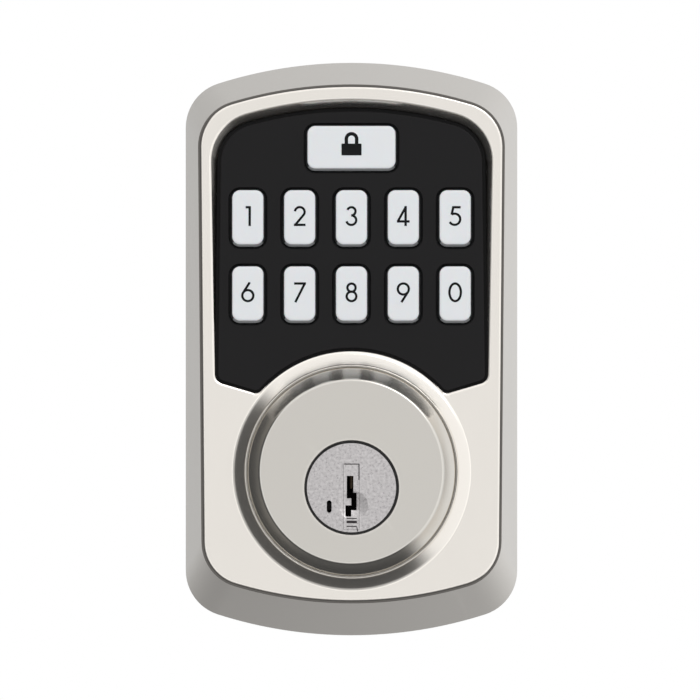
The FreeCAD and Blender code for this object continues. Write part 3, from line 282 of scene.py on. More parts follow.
@dataclass
class Shell:
    """A mesh made of rings, of bands that join two rings, and of flat areas between rings."""

    name: str
    rings: list[Ring] = field(default_factory=list)
    bands: list[tuple[int, int, int]] = field(default_factory=list)
    flats: list[tuple[int, ...]] = field(default_factory=list)

    def run(self, *rings: Ring, finish: int = 0) -> tuple[int, int]:
        """Add rings that follow each other, with a band between each two.

        Args:
            rings: the rings, each with as many points as the one before.
            finish: which of the piece's finishes the bands take.

        Returns:
            The numbers of the first and last ring.
        """
        first = len(self.rings)
        self.rings.extend(rings)
        last = len(self.rings) - 1
        self.bands.extend((index, index + 1, finish) for index in range(first, last))
        return first, last

    def join(self, first: int, second: int, finish: int = 0) -> None:
        """Add a band between two rings that were added apart."""
        self.bands.append((first, second, finish))

    def flat(self, *rings: int) -> None:
        """Fill the plane between rings: the outer one first, then the holes."""
        self.flats.append(rings)

    def build(self, angle: float = 40.0) -> Thing:
        """Draw the rings as one curve, make it a mesh, and close it with bands and flat faces.

        Args:
            angle: edges that turn by more than this many degrees stay sharp.

        Returns:
            The closed mesh object, with its faces outwards.
        """
        curve = bpy.data.curves.new(self.name, "CURVE")
        curve.dimensions = "3D"
        for ring in self.rings:
            spline = curve.splines.new("POLY")
            spline.points.add(len(ring) - 1)
            for point, place in zip(spline.points, ring):
                point.co = (*place, 1.0)
            spline.use_cyclic_u = True
        piece = mesh_of(curve)
        bpy.ops.object.mode_set(mode="EDIT")
        bpy.context.tool_settings.mesh_select_mode = (False, True, False)
        self.fill_flats(piece)
        self.lay_bands(piece)
        bpy.ops.object.mode_set(mode="OBJECT")
        close_and_smooth(piece, angle)
        return piece

    def fill_flats(self, piece: Thing) -> None:
        """Fill each flat area: one face inside a lone ring, a net of faces between several.

        Args:
            piece: the mesh of bare rings, in edit mode.
        """
        owner = [index for index, ring in enumerate(self.rings) for _ in ring]
        mesh = bmesh.from_edit_mesh(piece.data)
        edges: dict[int, list[int]] = {index: [] for index in range(len(self.rings))}
        for edge in mesh.edges:
            edges[owner[edge.verts[0].index]].append(edge.index)
        for numbers in self.flats:
            mesh = bmesh.from_edit_mesh(piece.data)
            mesh.edges.ensure_lookup_table()
            bpy.ops.mesh.select_all(action="DESELECT")
            for number in numbers:
                for index in edges[number]:
                    mesh.edges[index].select_set(True)
            bmesh.update_edit_mesh(piece.data)
            if len(numbers) == 1:
                bpy.ops.mesh.edge_face_add()
            else:
                bpy.ops.mesh.fill(use_beauty=True)

    def lay_bands(self, piece: Thing) -> None:
        """Join each two rings with four-sided faces, point for point.

        Args:
            piece: the mesh, in edit mode.
        """
        mesh = bmesh.from_edit_mesh(piece.data)
        mesh.verts.ensure_lookup_table()
        starts = [0]
        for ring in self.rings:
            starts.append(starts[-1] + len(ring))
        for first, second, finish in self.bands:
            count = len(self.rings[first])
            for index in range(count):
                after = (index + 1) % count
                low, high = starts[first], starts[second]
                corners = (low + index, low + after, high + after, high + index)
                face = mesh.faces.new([mesh.verts[corner] for corner in corners])
                face.material_index = finish
        bmesh.update_edit_mesh(piece.data)


def copy_of(piece: Thing, name: str, place: Matrix) -> Thing:
    """A copy that has its own mesh and is seen, even where a new piece already stands for its model.

    Args:
        piece: the model to copy.
        name: the copy's name.
        place: where the copy stands, in metres.

    Returns:
        The copy, at the origin with its place in its mesh.
    """
    twin = piece.copy()
    twin.data = piece.data.copy()
    twin.name = twin.data.name = name
    twin.hide_render = twin.hide_viewport = False
    bpy.context.scene.collection.objects.link(twin)
    twin.parent = None
    twin.matrix_world = place
    settle(twin)
    return twin


def dress(piece: Thing, body: str, slot: str, finishes: tuple[str, ...], *nodes: str) -> None:
    """Give a new piece its finishes and body, and hide the CAD nodes that it stands for.

    Args:
        piece: the new piece.
        body: the body that it moves with.
        slot: the record's material slot that it belongs to; not used.
        finishes: the names of its finishes, in the order that its faces number them.
        nodes: the CAD nodes that it replaces.
    """
    numbers = [face.material_index for face in piece.data.polygons]
    piece.data.materials.clear()
    for name in finishes:
        piece.data.materials.append(material_of(name))
    piece.data.polygons.foreach_set("material_index", numbers)
    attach(piece, body)
    if nodes:
        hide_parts(*nodes)
    log.info("%s rides on %s", piece.name, body)


# ---- finishes

# how fast the rub marks grow with an edge's sharpness
WEAR_GAIN = 14.0
# the range that the grain's noise fills
GRAIN_RANGE = (0.30, 0.70)
# the painted shade that darkens what lies deeper than a finish's limit ahead, and the depth over which it
# fades in
PAINTED_SHADE = (0.012, 0.011, 0.011, 1.0)
PAINTED_SHADE_FADE = 0.0012
LEAST_ROUGH = 0.02
BUMP_DISTANCE = 2e-5


class Lay(Enum):
    """Which way the fine lines of a worked surface run, as the stretch of its grain."""

    UPRIGHT = (1.0, 1.0, 0.02)
    TURNED = (1.0, 0.02, 1.0)
    EVEN = (1.0, 1.0, 1.0)


class Tree:
    """A shorthand for building node trees."""

    def __init__(self, tree: bpy.types.NodeTree) -> None:
        """Start on a tree."""
        self.tree = tree

    def add(self, kind: str, inputs: dict[str | int, object] | None = None, **settings: object) -> Node:
        """Add a node.

        Args:
            kind: the node's type name without its ShaderNode prefix.
            inputs: values for its sockets, or sockets to link from, by socket name or number.
            settings: properties of the node itself.

        Returns:
            The node.
        """
        node = self.tree.nodes.new(kind if kind.startswith("Node") else "ShaderNode" + kind)
        for name, value in settings.items():
            setattr(node, name, value)
        for name, value in (inputs or {}).items():
            if isinstance(value, Socket):
                self.tree.links.new(value, node.inputs[name])
            else:
                node.inputs[name].default_value = value
        return node

    def link(self, source: Socket, target: Socket) -> None:
        """Join two sockets."""
        self.tree.links.new(source, target)

    def noise(self, where: Socket, scale: Socket, detail: float, rough: float) -> Socket:
        """Noise between 0 and 1 at a place."""
        node = self.add("TexNoise", {"Vector": where, "Scale": scale, "Detail": detail, "Roughness": rough})
        return node.outputs[0]

    def ramp(self, value: Socket, low: float, high: float, to_low: float, to_high: float) -> Socket:
        """A value moved from one range to another."""
        inputs = {0: value, 1: low, 2: high, 3: to_low, 4: to_high}
        return self.add("MapRange", inputs, clamp=True).outputs[0]

    def math(self, operation: str, first: object, second: object) -> Socket:
        """One sum of two values."""
        return self.add("Math", {0: first, 1: second}, operation=operation).outputs[0]

    def blend(self, share: Socket, first: object, second: object) -> Socket:
        """A value between two."""
        return self.add("Mix", {0: share, 2: first, 3: second}, data_type="FLOAT").outputs[0]

    def mix(self, share: Socket, first: object, second: object) -> Socket:
        """A colour between two."""
        return self.add("Mix", {0: share, 6: first, 7: second}, data_type="RGBA").outputs[2]


def new_group(name: str, inputs: dict[str, tuple[str, object]], outputs: tuple[str, ...]
              ) -> tuple[Tree, Node, Node]:
    """A shader node group with named sockets.

    Args:
        name: the group's name.
        inputs: socket names with their type and default value.
        outputs: names of the sockets that give a plain value.

    Returns:
        A tree on the group, and the group's input and output nodes.
    """
    group = bpy.data.node_groups.new(name, "ShaderNodeTree")
    for label, (kind, value) in inputs.items():
        socket = group.interface.new_socket(label, in_out="INPUT", socket_type="NodeSocket" + kind)
        if value is not None:
            socket.default_value = value
    for label in outputs:
        group.interface.new_socket(label, in_out="OUTPUT", socket_type="NodeSocketFloat")
    tree = Tree(group)
    return tree, tree.add("NodeGroupInput"), tree.add("NodeGroupOutput")


def grain_group() -> bpy.types.NodeTree:
    """Fine grain with soft mottling, stretched along the lay of the surface.

    Returns:
        The node group.
    """
    inputs = {
        "Place": ("Vector", None),
        "Lay": ("Vector", (1.0, 1.0, 1.0)),
        "Scale": ("Float", 3000.0),
        "Mottle Scale": ("Float", 60.0),
    }
    tree, start, end = new_group("surface grain", inputs, ("Grain", "Mottle"))
    place = start.outputs["Place"]
    laid = tree.add("VectorMath", {0: place, 1: start.outputs["Lay"]}, operation="MULTIPLY")
    tree.link(tree.noise(laid.outputs[0], start.outputs["Scale"], 3.0, 0.65), end.inputs["Grain"])
    tree.link(tree.noise(place, start.outputs["Mottle Scale"], 4.0, 0.55), end.inputs["Mottle"])
    return tree.tree


def wear_group() -> bpy.types.NodeTree:
    """Rub marks where edges stand proud, broken up by noise.

    Returns:
        The node group.
    """
    inputs = {"Place": ("Vector", None), "Breakup Scale": ("Float", 400.0), "Reach": ("Float", 0.64)}
    tree, start, end = new_group("edge wear", inputs, ("Wear",))
    sharp = tree.add("NewGeometry").outputs["Pointiness"]
    broken = tree.noise(start.outputs["Place"], start.outputs["Breakup Scale"], 5.0, 0.6)
    edge = tree.math("SUBTRACT", sharp, start.outputs["Reach"])
    worn = tree.math("MULTIPLY", tree.math("MULTIPLY", edge, WEAR_GAIN), broken)
    tree.link(tree.add("Clamp", {0: worn}).outputs[0], end.inputs["Wear"])
    return tree.tree


GRAIN = grain_group()
WEAR = wear_group()


@dataclass(frozen=True)
class Finish:
    """What every finish has: a name, a colour, a roughness and a grain.

    With this limit set, only what stands that far ahead of the door keeps the colour; deeper in, the colour
    is painted shade.
    """

    name: str
    colour: tuple[float, float, float]
    roughness: float
    grain_scale: float = 3000.0
    grain_depth: float = 0.1
    spread: float = 0.06
    mottle: float = 0.05
    lay: Lay = Lay.EVEN
    fleck: float = 0.0
    painted_shade_ahead: float = -1.0

    def shader_values(self) -> dict[str, float]:
        """Constant values of the shader's own sockets."""
        return {}

    def wear_colour(self) -> Colour | None:
        """The colour that shows on rubbed edges, or None."""
        return None

    def build(self) -> Material:
        """Make the material.

        Returns:
            A material whose colour, roughness and bump vary with the surface's grain and mottling.
        """
        material = bpy.data.materials.new(self.name)
        material.use_nodes = True
        tree = Tree(material.node_tree)
        shader = material.node_tree.nodes["Principled BSDF"]
        place = tree.add("TexCoord").outputs["Object"]
        grain = tree.add("Group", node_tree=GRAIN)
        grain.inputs["Lay"].default_value = self.lay.value
        grain.inputs["Scale"].default_value = self.grain_scale
        tree.link(place, grain.inputs["Place"])
        dark = tuple(value * (1 - self.mottle) for value in self.colour)
        light = tuple(min(value * (1 + self.mottle), 1.0) for value in self.colour)
        colour = tree.mix(grain.outputs["Mottle"], (*dark, 1.0), (*light, 1.0))
        if self.fleck:
            speck = tree.ramp(grain.outputs["Grain"], *GRAIN_RANGE, 1 - self.fleck, 1 + self.fleck)
            colour = tree.add("VectorMath", {0: colour, 1: speck}, operation="MULTIPLY").outputs[0]
        worn = self.wear_colour()
        if worn is not None:
            wear = tree.add("Group", node_tree=WEAR)
            tree.link(place, wear.inputs["Place"])
            colour = tree.mix(wear.outputs["Wear"], colour, worn)
        # deeper than the limit, such as inside the keyway, the colour is painted dark as shade
        if self.painted_shade_ahead > 0:
            ahead = tree.math("MULTIPLY", tree.add("SeparateXYZ", {0: place}).outputs["Y"], -1.0)
            unshaded = tree.ramp(ahead, self.painted_shade_ahead - PAINTED_SHADE_FADE, self.painted_shade_ahead, 0.0, 1.0)
            colour = tree.mix(unshaded, PAINTED_SHADE, colour)
        low = max(self.roughness - self.spread, LEAST_ROUGH)
        rough = tree.ramp(grain.outputs["Grain"], *GRAIN_RANGE, low, self.roughness + self.spread)
        height = {"Height": grain.outputs["Grain"], "Strength": self.grain_depth, "Distance": BUMP_DISTANCE}
        tree.link(colour, shader.inputs["Base Color"])
        tree.link(rough, shader.inputs["Roughness"])
        tree.link(tree.add("Bump", height).outputs[0], shader.inputs["Normal"])
        for name, value in self.shader_values().items():
            shader.inputs[name].default_value = value
        return material


@dataclass(frozen=True)
class Metal(Finish):
    """Bare or plated metal."""

    rub: float = 1.12

    def shader_values(self) -> dict[str, float]:
        """Constant values of the shader's own sockets."""
        return {"Metallic": 1.0}

    def wear_colour(self) -> Colour:
        """Edges polish a little brighter."""
        return (*(min(value * self.rub, 1.0) for value in self.colour), 1.0)


@dataclass(frozen=True)
class Plastic(Finish):
    """Moulded plastic, rubber, silicone or foam."""

    coat: float = 0.0
    glow: float = 0.0
    specular: float = 0.5

    def shader_values(self) -> dict[str, float]:
        """Constant values of the shader's own sockets."""
        return {
            "Coat Weight": self.coat,
            "Coat Roughness": 0.12,
            "Subsurface Weight": self.glow,
            "Subsurface Scale": 0.0012,
            "Specular IOR Level": self.specular,
        }


FINISHES: dict[str, Finish] = {
    "satin_nickel": Metal("satin nickel", (0.80, 0.765, 0.715), 0.22, 5000, 0.02, 0.02, 0.01, Lay.UPRIGHT),
    "guard_nickel": Metal("turned nickel", (0.61, 0.587, 0.548), 0.20, 5000, 0.02, 0.02, 0.01, Lay.TURNED),
    "panel_black": Plastic(
        "spark textured black", (0.006, 0.0057, 0.0062), 0.40, 4200, 0.25, 0.06, 0.10, specular=0.15),
    "key_white": Plastic(
        "frosted key white", (0.75, 0.77, 0.79), 0.36, 3500, 0.05, 0.05, 0.02, coat=0.1, glow=0.1),
    # painted shade on the key flanks: dark on most, a lighter grey where they turn down near the front
    "key_flank_painted_shade": Plastic(
        "painted shade on key flank", (0.045, 0.047, 0.05), 0.45, 3500, 0.05, 0.05, 0.04, specular=0.2),
    "key_lower_flank_painted_shade": Plastic("painted shade on lower key flank", (0.34, 0.35, 0.36), 0.45, 3500, 0.05, 0.05, 0.04, specular=0.2),
    # painted shade for the narrow groove round the escutcheon's face
    "groove_painted_shade": Metal("nickel with painted groove shade", (0.13, 0.122, 0.113), 0.30, 5000, 0.05, 0.03, 0.05),
    # painted shadow for the hairline seams on the plug's face
    "seam_shadow": Plastic("painted seam shadow", (0.045, 0.04, 0.042), 0.6, 3500, 0.2, 0.05, 0.1, specular=0.15),
    "legend_ink": Plastic("legend ink", (0.005, 0.0055, 0.006), 0.45, 5000, 0.10, 0.05, 0.10, specular=0.1),
    "silicone_grey": Plastic("grey silicone", (0.55, 0.56, 0.57), 0.55, 2500, 0.15, 0.06, 0.04, glow=0.2),
    "circuit_green": Plastic("solder mask", (0.02, 0.16, 0.06), 0.35, 1500, 0.2, 0.08, 0.15, coat=0.3),
    "dome_steel": Metal("stamped steel", (0.66, 0.66, 0.66), 0.25, 3000, 0.08),
    "led_lens": Plastic("lamp resin", (0.90, 0.88, 0.78), 0.2, 2500, 0.05, coat=0.5),
    "chip_black": Plastic("moulded epoxy", (0.02, 0.02, 0.022), 0.55, 3500, 0.3),
    "radio_can": Metal("tinned steel", (0.62, 0.63, 0.65), 0.3, 2500, 0.1),
    "header_cream": Plastic("nylon", (0.78, 0.74, 0.62), 0.45, 2500, 0.1, glow=0.1),
    "foam_black": Plastic("black foam", (0.03, 0.03, 0.032), 0.9, 1800, 1.0, 0.05, 0.2),
    "cover_black": Plastic("glass filled nylon", (0.03, 0.03, 0.033), 0.5, 2200, 0.4, 0.08, 0.15),
    "screw_zinc": Metal("bright zinc", (0.58, 0.59, 0.62), 0.28, 3500, 0.1, 0.06, 0.06),
    # the cylinder body's near-black colour is painted shade for the gap round the plug
    "cylinder_zinc": Metal("zinc casting painted dark as shade", (0.07, 0.07, 0.07), 0.5, 2500, 0.3, 0.08, 0.1),
    "hard_steel": Metal("blackened steel", (0.045, 0.04, 0.042), 0.4, 3500, 0.1),
    # the plug and the insert are painted dark as shade behind their faces, inside the keyway
    "plug_nickel": Metal(
        "grained nickel", (0.47, 0.452, 0.453), 0.32, 1700, 0.9, 0.09, 0.05, fleck=0.20, painted_shade_ahead=0.0300),
    "insert_steel": Metal(
        "sintered steel", (0.48, 0.462, 0.463), 0.32, 1700, 0.9, 0.09, 0.05, fleck=0.20, painted_shade_ahead=0.0300),
    "spring_steel": Metal("spring wire", (0.50, 0.50, 0.52), 0.3, 3500, 0.1),
    "pin_brass": Metal("tarnished brass", (0.06, 0.045, 0.03), 0.35, 3500, 0.1, lay=Lay.TURNED),
    "tail_steel": Metal("stamped zinc plate", (0.48, 0.49, 0.52), 0.34, 2200, 0.25, 0.08, 0.08),
    "plate_steel": Metal("pressed zinc plate", (0.50, 0.51, 0.54), 0.36, 1800, 0.25, 0.10, 0.10),
    "gasket_foam": Plastic("gasket foam", (0.04, 0.04, 0.042), 0.9, 1600, 1.0, 0.05, 0.25),
    "grommet_rubber": Plastic("moulded rubber", (0.025, 0.025, 0.027), 0.6, 2500, 0.3, 0.06, 0.1),
}


@cache
def material_of(name: str) -> Material:
    """The material of a finish, which is built when it is first asked for."""
    return FINISHES[name].build()


# ---- escutcheon


@dataclass
class Keypad:
    """The keypad's own frame and the window's outline, which several pieces share."""

    foot: float = 20.5
    tilt: float = 2.0
    face_depth: float = 25.0
    window_top: float = 86.05
    window_crown: float = 88.0
    half_top: float = 30.4
    half_foot: float = 31.0
    corner: float = 9.4
    chin_height: float = 25.6
    chin_radius: float = 2.2
    cusp_half: float = 21.75
    cusp_radius: float = 2.0
    ring_radius: float = 27.3
    ring_height: float = 3.63
    ring_clear: float = 27.25

    def matrix(self) -> Matrix:
        """From the keypad's frame to the part's, in metres."""
        base = Matrix.Translation(Vector((0.0, -self.face_depth, self.foot)) * MM)
        return base @ Matrix.Rotation(math.radians(-self.tilt), 4, "X")

    def window(self) -> Outline:
        """The window's edge on the panel's surface.

        Returns:
            The outline, in the keypad's frame.
        """
        crown_up = self.window_top - self.foot - self.window_crown
        top_x = self.half_top - self.corner
        bow = self.window_crown - self.corner
        top_up = crown_up + math.sqrt(bow * bow - top_x * top_x)
        chin_x = self.half_foot - self.chin_radius
        chin_up = self.chin_height - self.foot
        ring_up = self.ring_height - self.foot
        reach = self.ring_radius + self.cusp_radius
        cusp_up = ring_up + math.sqrt(reach * reach - self.cusp_half * self.cusp_half)
        right = (
            Corner(self.cusp_half, cusp_up, self.cusp_radius),
            Corner(chin_x, chin_up, self.chin_radius),
            Corner(top_x, top_up, self.corner),
        )
        corners = (*right, *(corner.mirrored() for corner in reversed(right)))
        crown = Sweep(0.0, crown_up, self.window_crown)
        hollow = Sweep(0.0, ring_up, self.ring_radius, True)
        return Outline(corners, (None, None, crown, None, None, hollow))

    def level_ring(self, outline: Outline, ahead: float, slope: float = 0.0) -> Ring:
        """Where a wall that stands on an outline meets a plane parallel to the door.

        Args:
            outline: the wall's foot on the panel's surface.
            ahead: how far the plane is ahead of the door.
            slope: how far the wall leans outwards for each millimetre that it rises.

        Returns:
            The ring of points where they meet, in metres.
        """
        lean = math.tan(math.radians(self.tilt))
        rise = (ahead - self.face_depth) / math.cos(math.radians(self.tilt))
        found = []
        middle = Vector((0.0, self.ring_height - self.foot))
        for point, normal in outline.samples():
            height = (rise + lean * point.y) / (1 - lean * slope * normal.y)
            spot = point + normal * (height * slope)
            if (spot - middle).length < self.ring_clear:
                spot = middle + (spot - middle).normalized() * self.ring_clear
                height = rise + lean * spot.y
            found.append(self.matrix() @ (Vector((spot.x, -height, spot.y)) * MM))
        return found


@dataclass
class Escutcheon:
    """The cast case: sloping skirt, flat face, keypad window and flared collar, with painted shade in the
    groove round the face.
    """

    keypad: Keypad
    width: float = 75.5
    top: float = 96.6
    drop: float = 33.8
    crown: float = 100.0
    sole: float = 100.0
    corner: float = 10.5
    depth: float = 25.0
    inset_top: float = 3.1
    inset_foot: float = 3.9
    skirt_top: float = 5.4
    skirt_foot: float = 7.9
    edge_radius: float = 0.38
    groove: float = 0.52
    groove_depth: float = 0.65
    mouth_radius: float = 0.3
    recess_slope: float = 0.85
    wall: float = 2.2
    window_stock: float = 5.5
    lip_thickness: float = 1.0
    room: float = 1.3
    bore: float = 24.0
    lip: float = 0.2
    collar_foot: float = 27.2
    flare_foot: float = 38.0
    flare_lip: float = 49.0
    flare_bend: float = 0.25
    centre_up: float = 3.63
    rim_soft: float = 0.25
    groove_soft: float = 0.05
    groove_step: float = 0.06
    groove_dip: float = 0.02
    groove_draft: float = 0.01
    edge_steps: int = 5
    edge_support: float = 0.3
    mouth: Steps = ((0.0, 0.0), (0.12, 0.03), (0.23, 0.10), (0.30, 0.20))
    recess_soft: float = 0.05
    collar_steps: int = 16

    @property
    def groove_floor(self) -> float:
        """How far the groove's floor is ahead of the door."""
        return self.depth - self.edge_radius - self.groove_depth

    def case(self, ahead: float) -> Outline:
        """The outer edge at one level.

        Args:
            ahead: how far the level is ahead of the door.

        Returns:
            The edge's outline.
        """
        share = ahead / self.depth
        half_top = self.width / 2 - self.inset_top * share
        half_foot = self.width / 2 - self.inset_foot * share
        top = self.top - self.skirt_top * share
        foot = self.drop - self.skirt_foot * share
        crown = self.crown - self.skirt_top * share
        sole = self.sole - self.skirt_foot * share
        top_x = half_top - self.corner
        foot_x = half_foot - self.corner
        top_up = top - crown + math.sqrt((crown - self.corner) ** 2 - top_x ** 2)
        foot_up = sole - foot - math.sqrt((sole - self.corner) ** 2 - foot_x ** 2)
        low, high = Corner(foot_x, foot_up, self.corner), Corner(top_x, top_up, self.corner)
        corners = (low.mirrored(), low, high, high.mirrored())
        return Outline(corners, (Sweep(0.0, sole - foot, sole), None, Sweep(0.0, top - crown, crown), None))

    def back_rings(self) -> list[Ring]:
        """From the inner wall's front, round the back rim and up the skirt to the groove round the face.

        Returns:
            The rings, in that order.
        """
        ceiling = self.depth - self.window_stock
        brow = self.groove_floor - self.groove_soft
        return [
            self.case(ceiling).grown(-self.wall).ring(ceiling),
            *self.case(0).stack(((-self.wall, 0), (-self.rim_soft, 0))),
            *(self.case(ahead).ring(ahead) for ahead in (self.rim_soft, brow)),
        ]

    def groove_rings(self) -> list[Ring]:
        """Across the narrow groove between the skirt and the face, whose faces take a dark finish of painted
        shade.
        """
        floor = self.groove_floor
        return self.case(floor).stack((
            (-self.groove_step, floor),
            (-self.groove + self.groove_step, floor - self.groove_dip),
            (-self.groove, floor + self.groove_soft),
            (-self.groove - self.groove_draft, self.depth - self.edge_radius),
        ))

    def edge_rings(self) -> list[Ring]:
        """Round the soft edge of the face.

        Returns:
            The rings, from the groove inwards; the last one keeps the shading of the flat face even.
        """
        case = self.case(self.groove_floor)
        foot = self.groove + self.groove_draft
        edge = soft_edge(self.edge_radius, self.edge_steps)[1:]
        support = (-self.groove - self.edge_radius - self.edge_support, self.depth)
        return case.stack((*((-(foot + inset), self.depth - drop) for inset, drop in edge), support))

    def window_rings(self) -> list[Ring]:
        """From the face over the mouth's soft edge, down the recess and round the lip to the ceiling.

        Returns:
            The rings, in that order.
        """
        window = self.keypad.window()
        level = self.keypad.level_ring
        wide = window.grown(self.room)
        return [
            *(level(window.grown(self.mouth_radius - inset), self.depth - drop, self.recess_slope)
              for inset, drop in self.mouth),
            *window.stack(
                ((0.0, -self.recess_soft), (0.0, -self.lip_thickness), (self.room, -self.lip_thickness)),
                self.keypad.matrix()),
            level(wide, self.depth - self.window_stock),
        ]

    def collar_rings(self) -> list[Ring]:
        """From the face up the hollow flare, over the slim lip and down the bore.

        Returns:
            The rings, in that order.
        """
        half = self.lip / 2
        steps = self.collar_steps
        radius, ahead = self.collar_foot, self.depth
        stride = (self.collar_foot - self.bore - self.lip) / steps
        rings = [round_ring(radius, ahead, self.centre_up)]
        for step in range(steps):
            share = (step + 0.5) / steps
            rest = max(0.0, (share - self.flare_bend) / (1 - self.flare_bend))
            slope = self.flare_foot * min(1.0, share / self.flare_bend)
            slope += (self.flare_lip - self.flare_foot) * rest
            radius -= stride
            ahead += stride * math.tan(math.radians(slope))
            rings.append(round_ring(radius, ahead, self.centre_up))
        front = ahead + half
        for step in range(1, steps):
            turn = math.pi * step / steps
            radius = self.bore + half + half * math.cos(turn)
            rings.append(round_ring(radius, front - half + half * math.sin(turn), self.centre_up))
        rings.append(round_ring(self.bore, front - half, self.centre_up))
        rings.append(round_ring(self.bore, self.depth - self.window_stock, self.centre_up))
        return rings

    def build(self) -> None:
        """Model the whole case as one closed shell and dress it."""
        shell = Shell("escutcheon_shell")
        inner, rim = shell.run(*self.back_rings())
        # the groove's bands take the second finish, which is painted shade
        groove, lip = shell.run(*self.groove_rings(), finish=1)
        start, edge = shell.run(*self.edge_rings())
        shell.join(rim, groove, 1)
        shell.join(lip, start)
        mouth, room = shell.run(*self.window_rings())
        foot, bore = shell.run(*self.collar_rings())
        shell.flat(edge, mouth, foot)
        shell.flat(inner, room, bore)
        finishes = ("satin_nickel", "groove_painted_shade")
        dress(shell.build(50.0), "lock_unit", "satin_nickel", finishes, "escutcheon_housing")


@dataclass
class Guard:
    """The steel cup round the cylinder, with its coned flank and a hole for the plug."""

    centre_up: float = 3.63
    outer: float = 23.7
    inner: float = 21.2
    brim: float = 25.1
    back: float = 17.9
    brim_front: float = 19.4
    shoulder: float = 27.3
    face: float = 31.0
    face_radius: float = 20.9
    wall: float = 2.5
    hole: float = 10.7
    edge: float = 0.22
    bulge: tuple[float, float] = (22.17, 28.944)
    shoulder_inset: float = 0.05
    shoulder_soft: float = 0.08
    brow_out: float = 0.1
    brow: Steps = ((0.05, 0.35), (0.18, 0.08), (0.35, 0.0), (0.6, 0.0))
    mouth: Steps = ((0.7, 0.0), (0.46, 0.0), (0.43, 0.0015), (0.11, 0.032), (0.0, 0.14))
    flank_steps: int = 8

    def flank(self) -> list[Pair]:
        """The slightly hollow flank from the shoulder to the face's edge.

        Returns:
            Pairs of radius and distance ahead.
        """
        first = (self.outer - self.shoulder_inset, self.shoulder)
        last = (self.face_radius + self.brow_out, self.face - self.edge)
        ends = (first, self.bulge, last)
        points = []
        for step in range(self.flank_steps + 1):
            share = step / self.flank_steps
            weights = ((1 - share) ** 2, 2 * share * (1 - share), share ** 2)
            points.append(tuple(sum(w * end[axis] for w, end in zip(weights, ends)) for axis in (0, 1)))
        return points

    def build(self) -> None:
        """Turn the cup, bore the hole off its centre, join the two with flat faces and dress the piece."""
        inside = self.face - self.wall
        profile = (
            (self.face_radius - self.wall, inside),
            (self.inner, self.shoulder),
            (self.inner, self.back),
            (self.brim, self.back),
            (self.brim, self.brim_front),
            (self.outer, self.brim_front),
            (self.outer, self.shoulder - self.shoulder_soft),
            *self.flank(),
            *((self.face_radius - inset, self.face - self.edge * share) for inset, share in self.brow),
        )
        shell = Shell("guard_cup")
        start, rim = shell.run(*(round_ring(radius, ahead, self.centre_up) for radius, ahead in profile))
        mouth, back = shell.run(
            *(round_ring(self.hole + out, self.face - drop) for out, drop in self.mouth),
            round_ring(self.hole, inside),
        )
        shell.flat(rim, mouth)
        shell.flat(start, back)
        dress(shell.build(35.0), "lock_unit", "guard_nickel", ("guard_nickel",), "cylinder_guard")


# ---- keypad


@dataclass
class Key:
    """One key's place and size in the keypad's frame."""

    label: str
    x: float
    up: float
    wide: float = 7.7
    high: float = 12.95


@dataclass
class Panel:
    """The black panel with soft edges, its flange and the key openings."""

    keypad: Keypad
    keys: list[Key]
    gap: float = 0.65
    edge: float = 0.3
    back: float = 2.7
    seal_back: float = 1.5
    flange: float = 1.0
    clearance: float = 0.45
    corner: float = 2.55
    lip: float = 0.15
    lip_shares: Steps = ((1.0, 0.0), (0.55, 0.08), (0.15, 0.4), (0.0, 1.0))
    edge_steps: int = 4

    def build(self) -> None:
        """Model the panel as one closed shell and dress it."""
        into = self.keypad.matrix()
        window = self.keypad.window()
        edge = [(-inset, -drop) for inset, drop in soft_edge(self.edge, self.edge_steps)]
        shell = Shell("keypad_face")
        rear, front = shell.run(
            *window.grown(self.flange).stack(((0.0, -self.back), (0.0, -self.seal_back)), into),
            *window.grown(-self.gap).stack(((0.0, -self.seal_back), *edge), into),
        )
        mouths, backs = [], []
        lip = [(self.lip * out, -self.lip * drop) for out, drop in self.lip_shares]
        for key in self.keys:
            opening = key_outline(key, self.clearance, self.corner)
            mouth, back = shell.run(*opening.stack((*lip, (0.0, -self.back)), into))
            mouths.append(mouth)
            backs.append(back)
        shell.flat(front, *mouths)
        shell.flat(rear, *backs)
        dress(shell.build(40.0), "lock_unit", "panel_black", ("panel_black",), "keypad_panel")


def key_outline(key: Key, clearance: float, radius: float) -> Outline:
    """A key's upright rounded rectangle, with room all round.

    Args:
        key: the key.
        clearance: how wide the room is.
        radius: the radius of the corners.

    Returns:
        The outline, in the keypad's frame.
    """
    reach_x = key.wide / 2 + clearance - radius
    reach_up = key.high / 2 + clearance - radius
    corners = tuple(
        Corner(key.x + side * reach_x, key.up + end * reach_up, radius)
        for side, end in ((-1, -1), (1, -1), (1, 1), (-1, 1))
    )
    return Outline(corners, (None,) * 4)


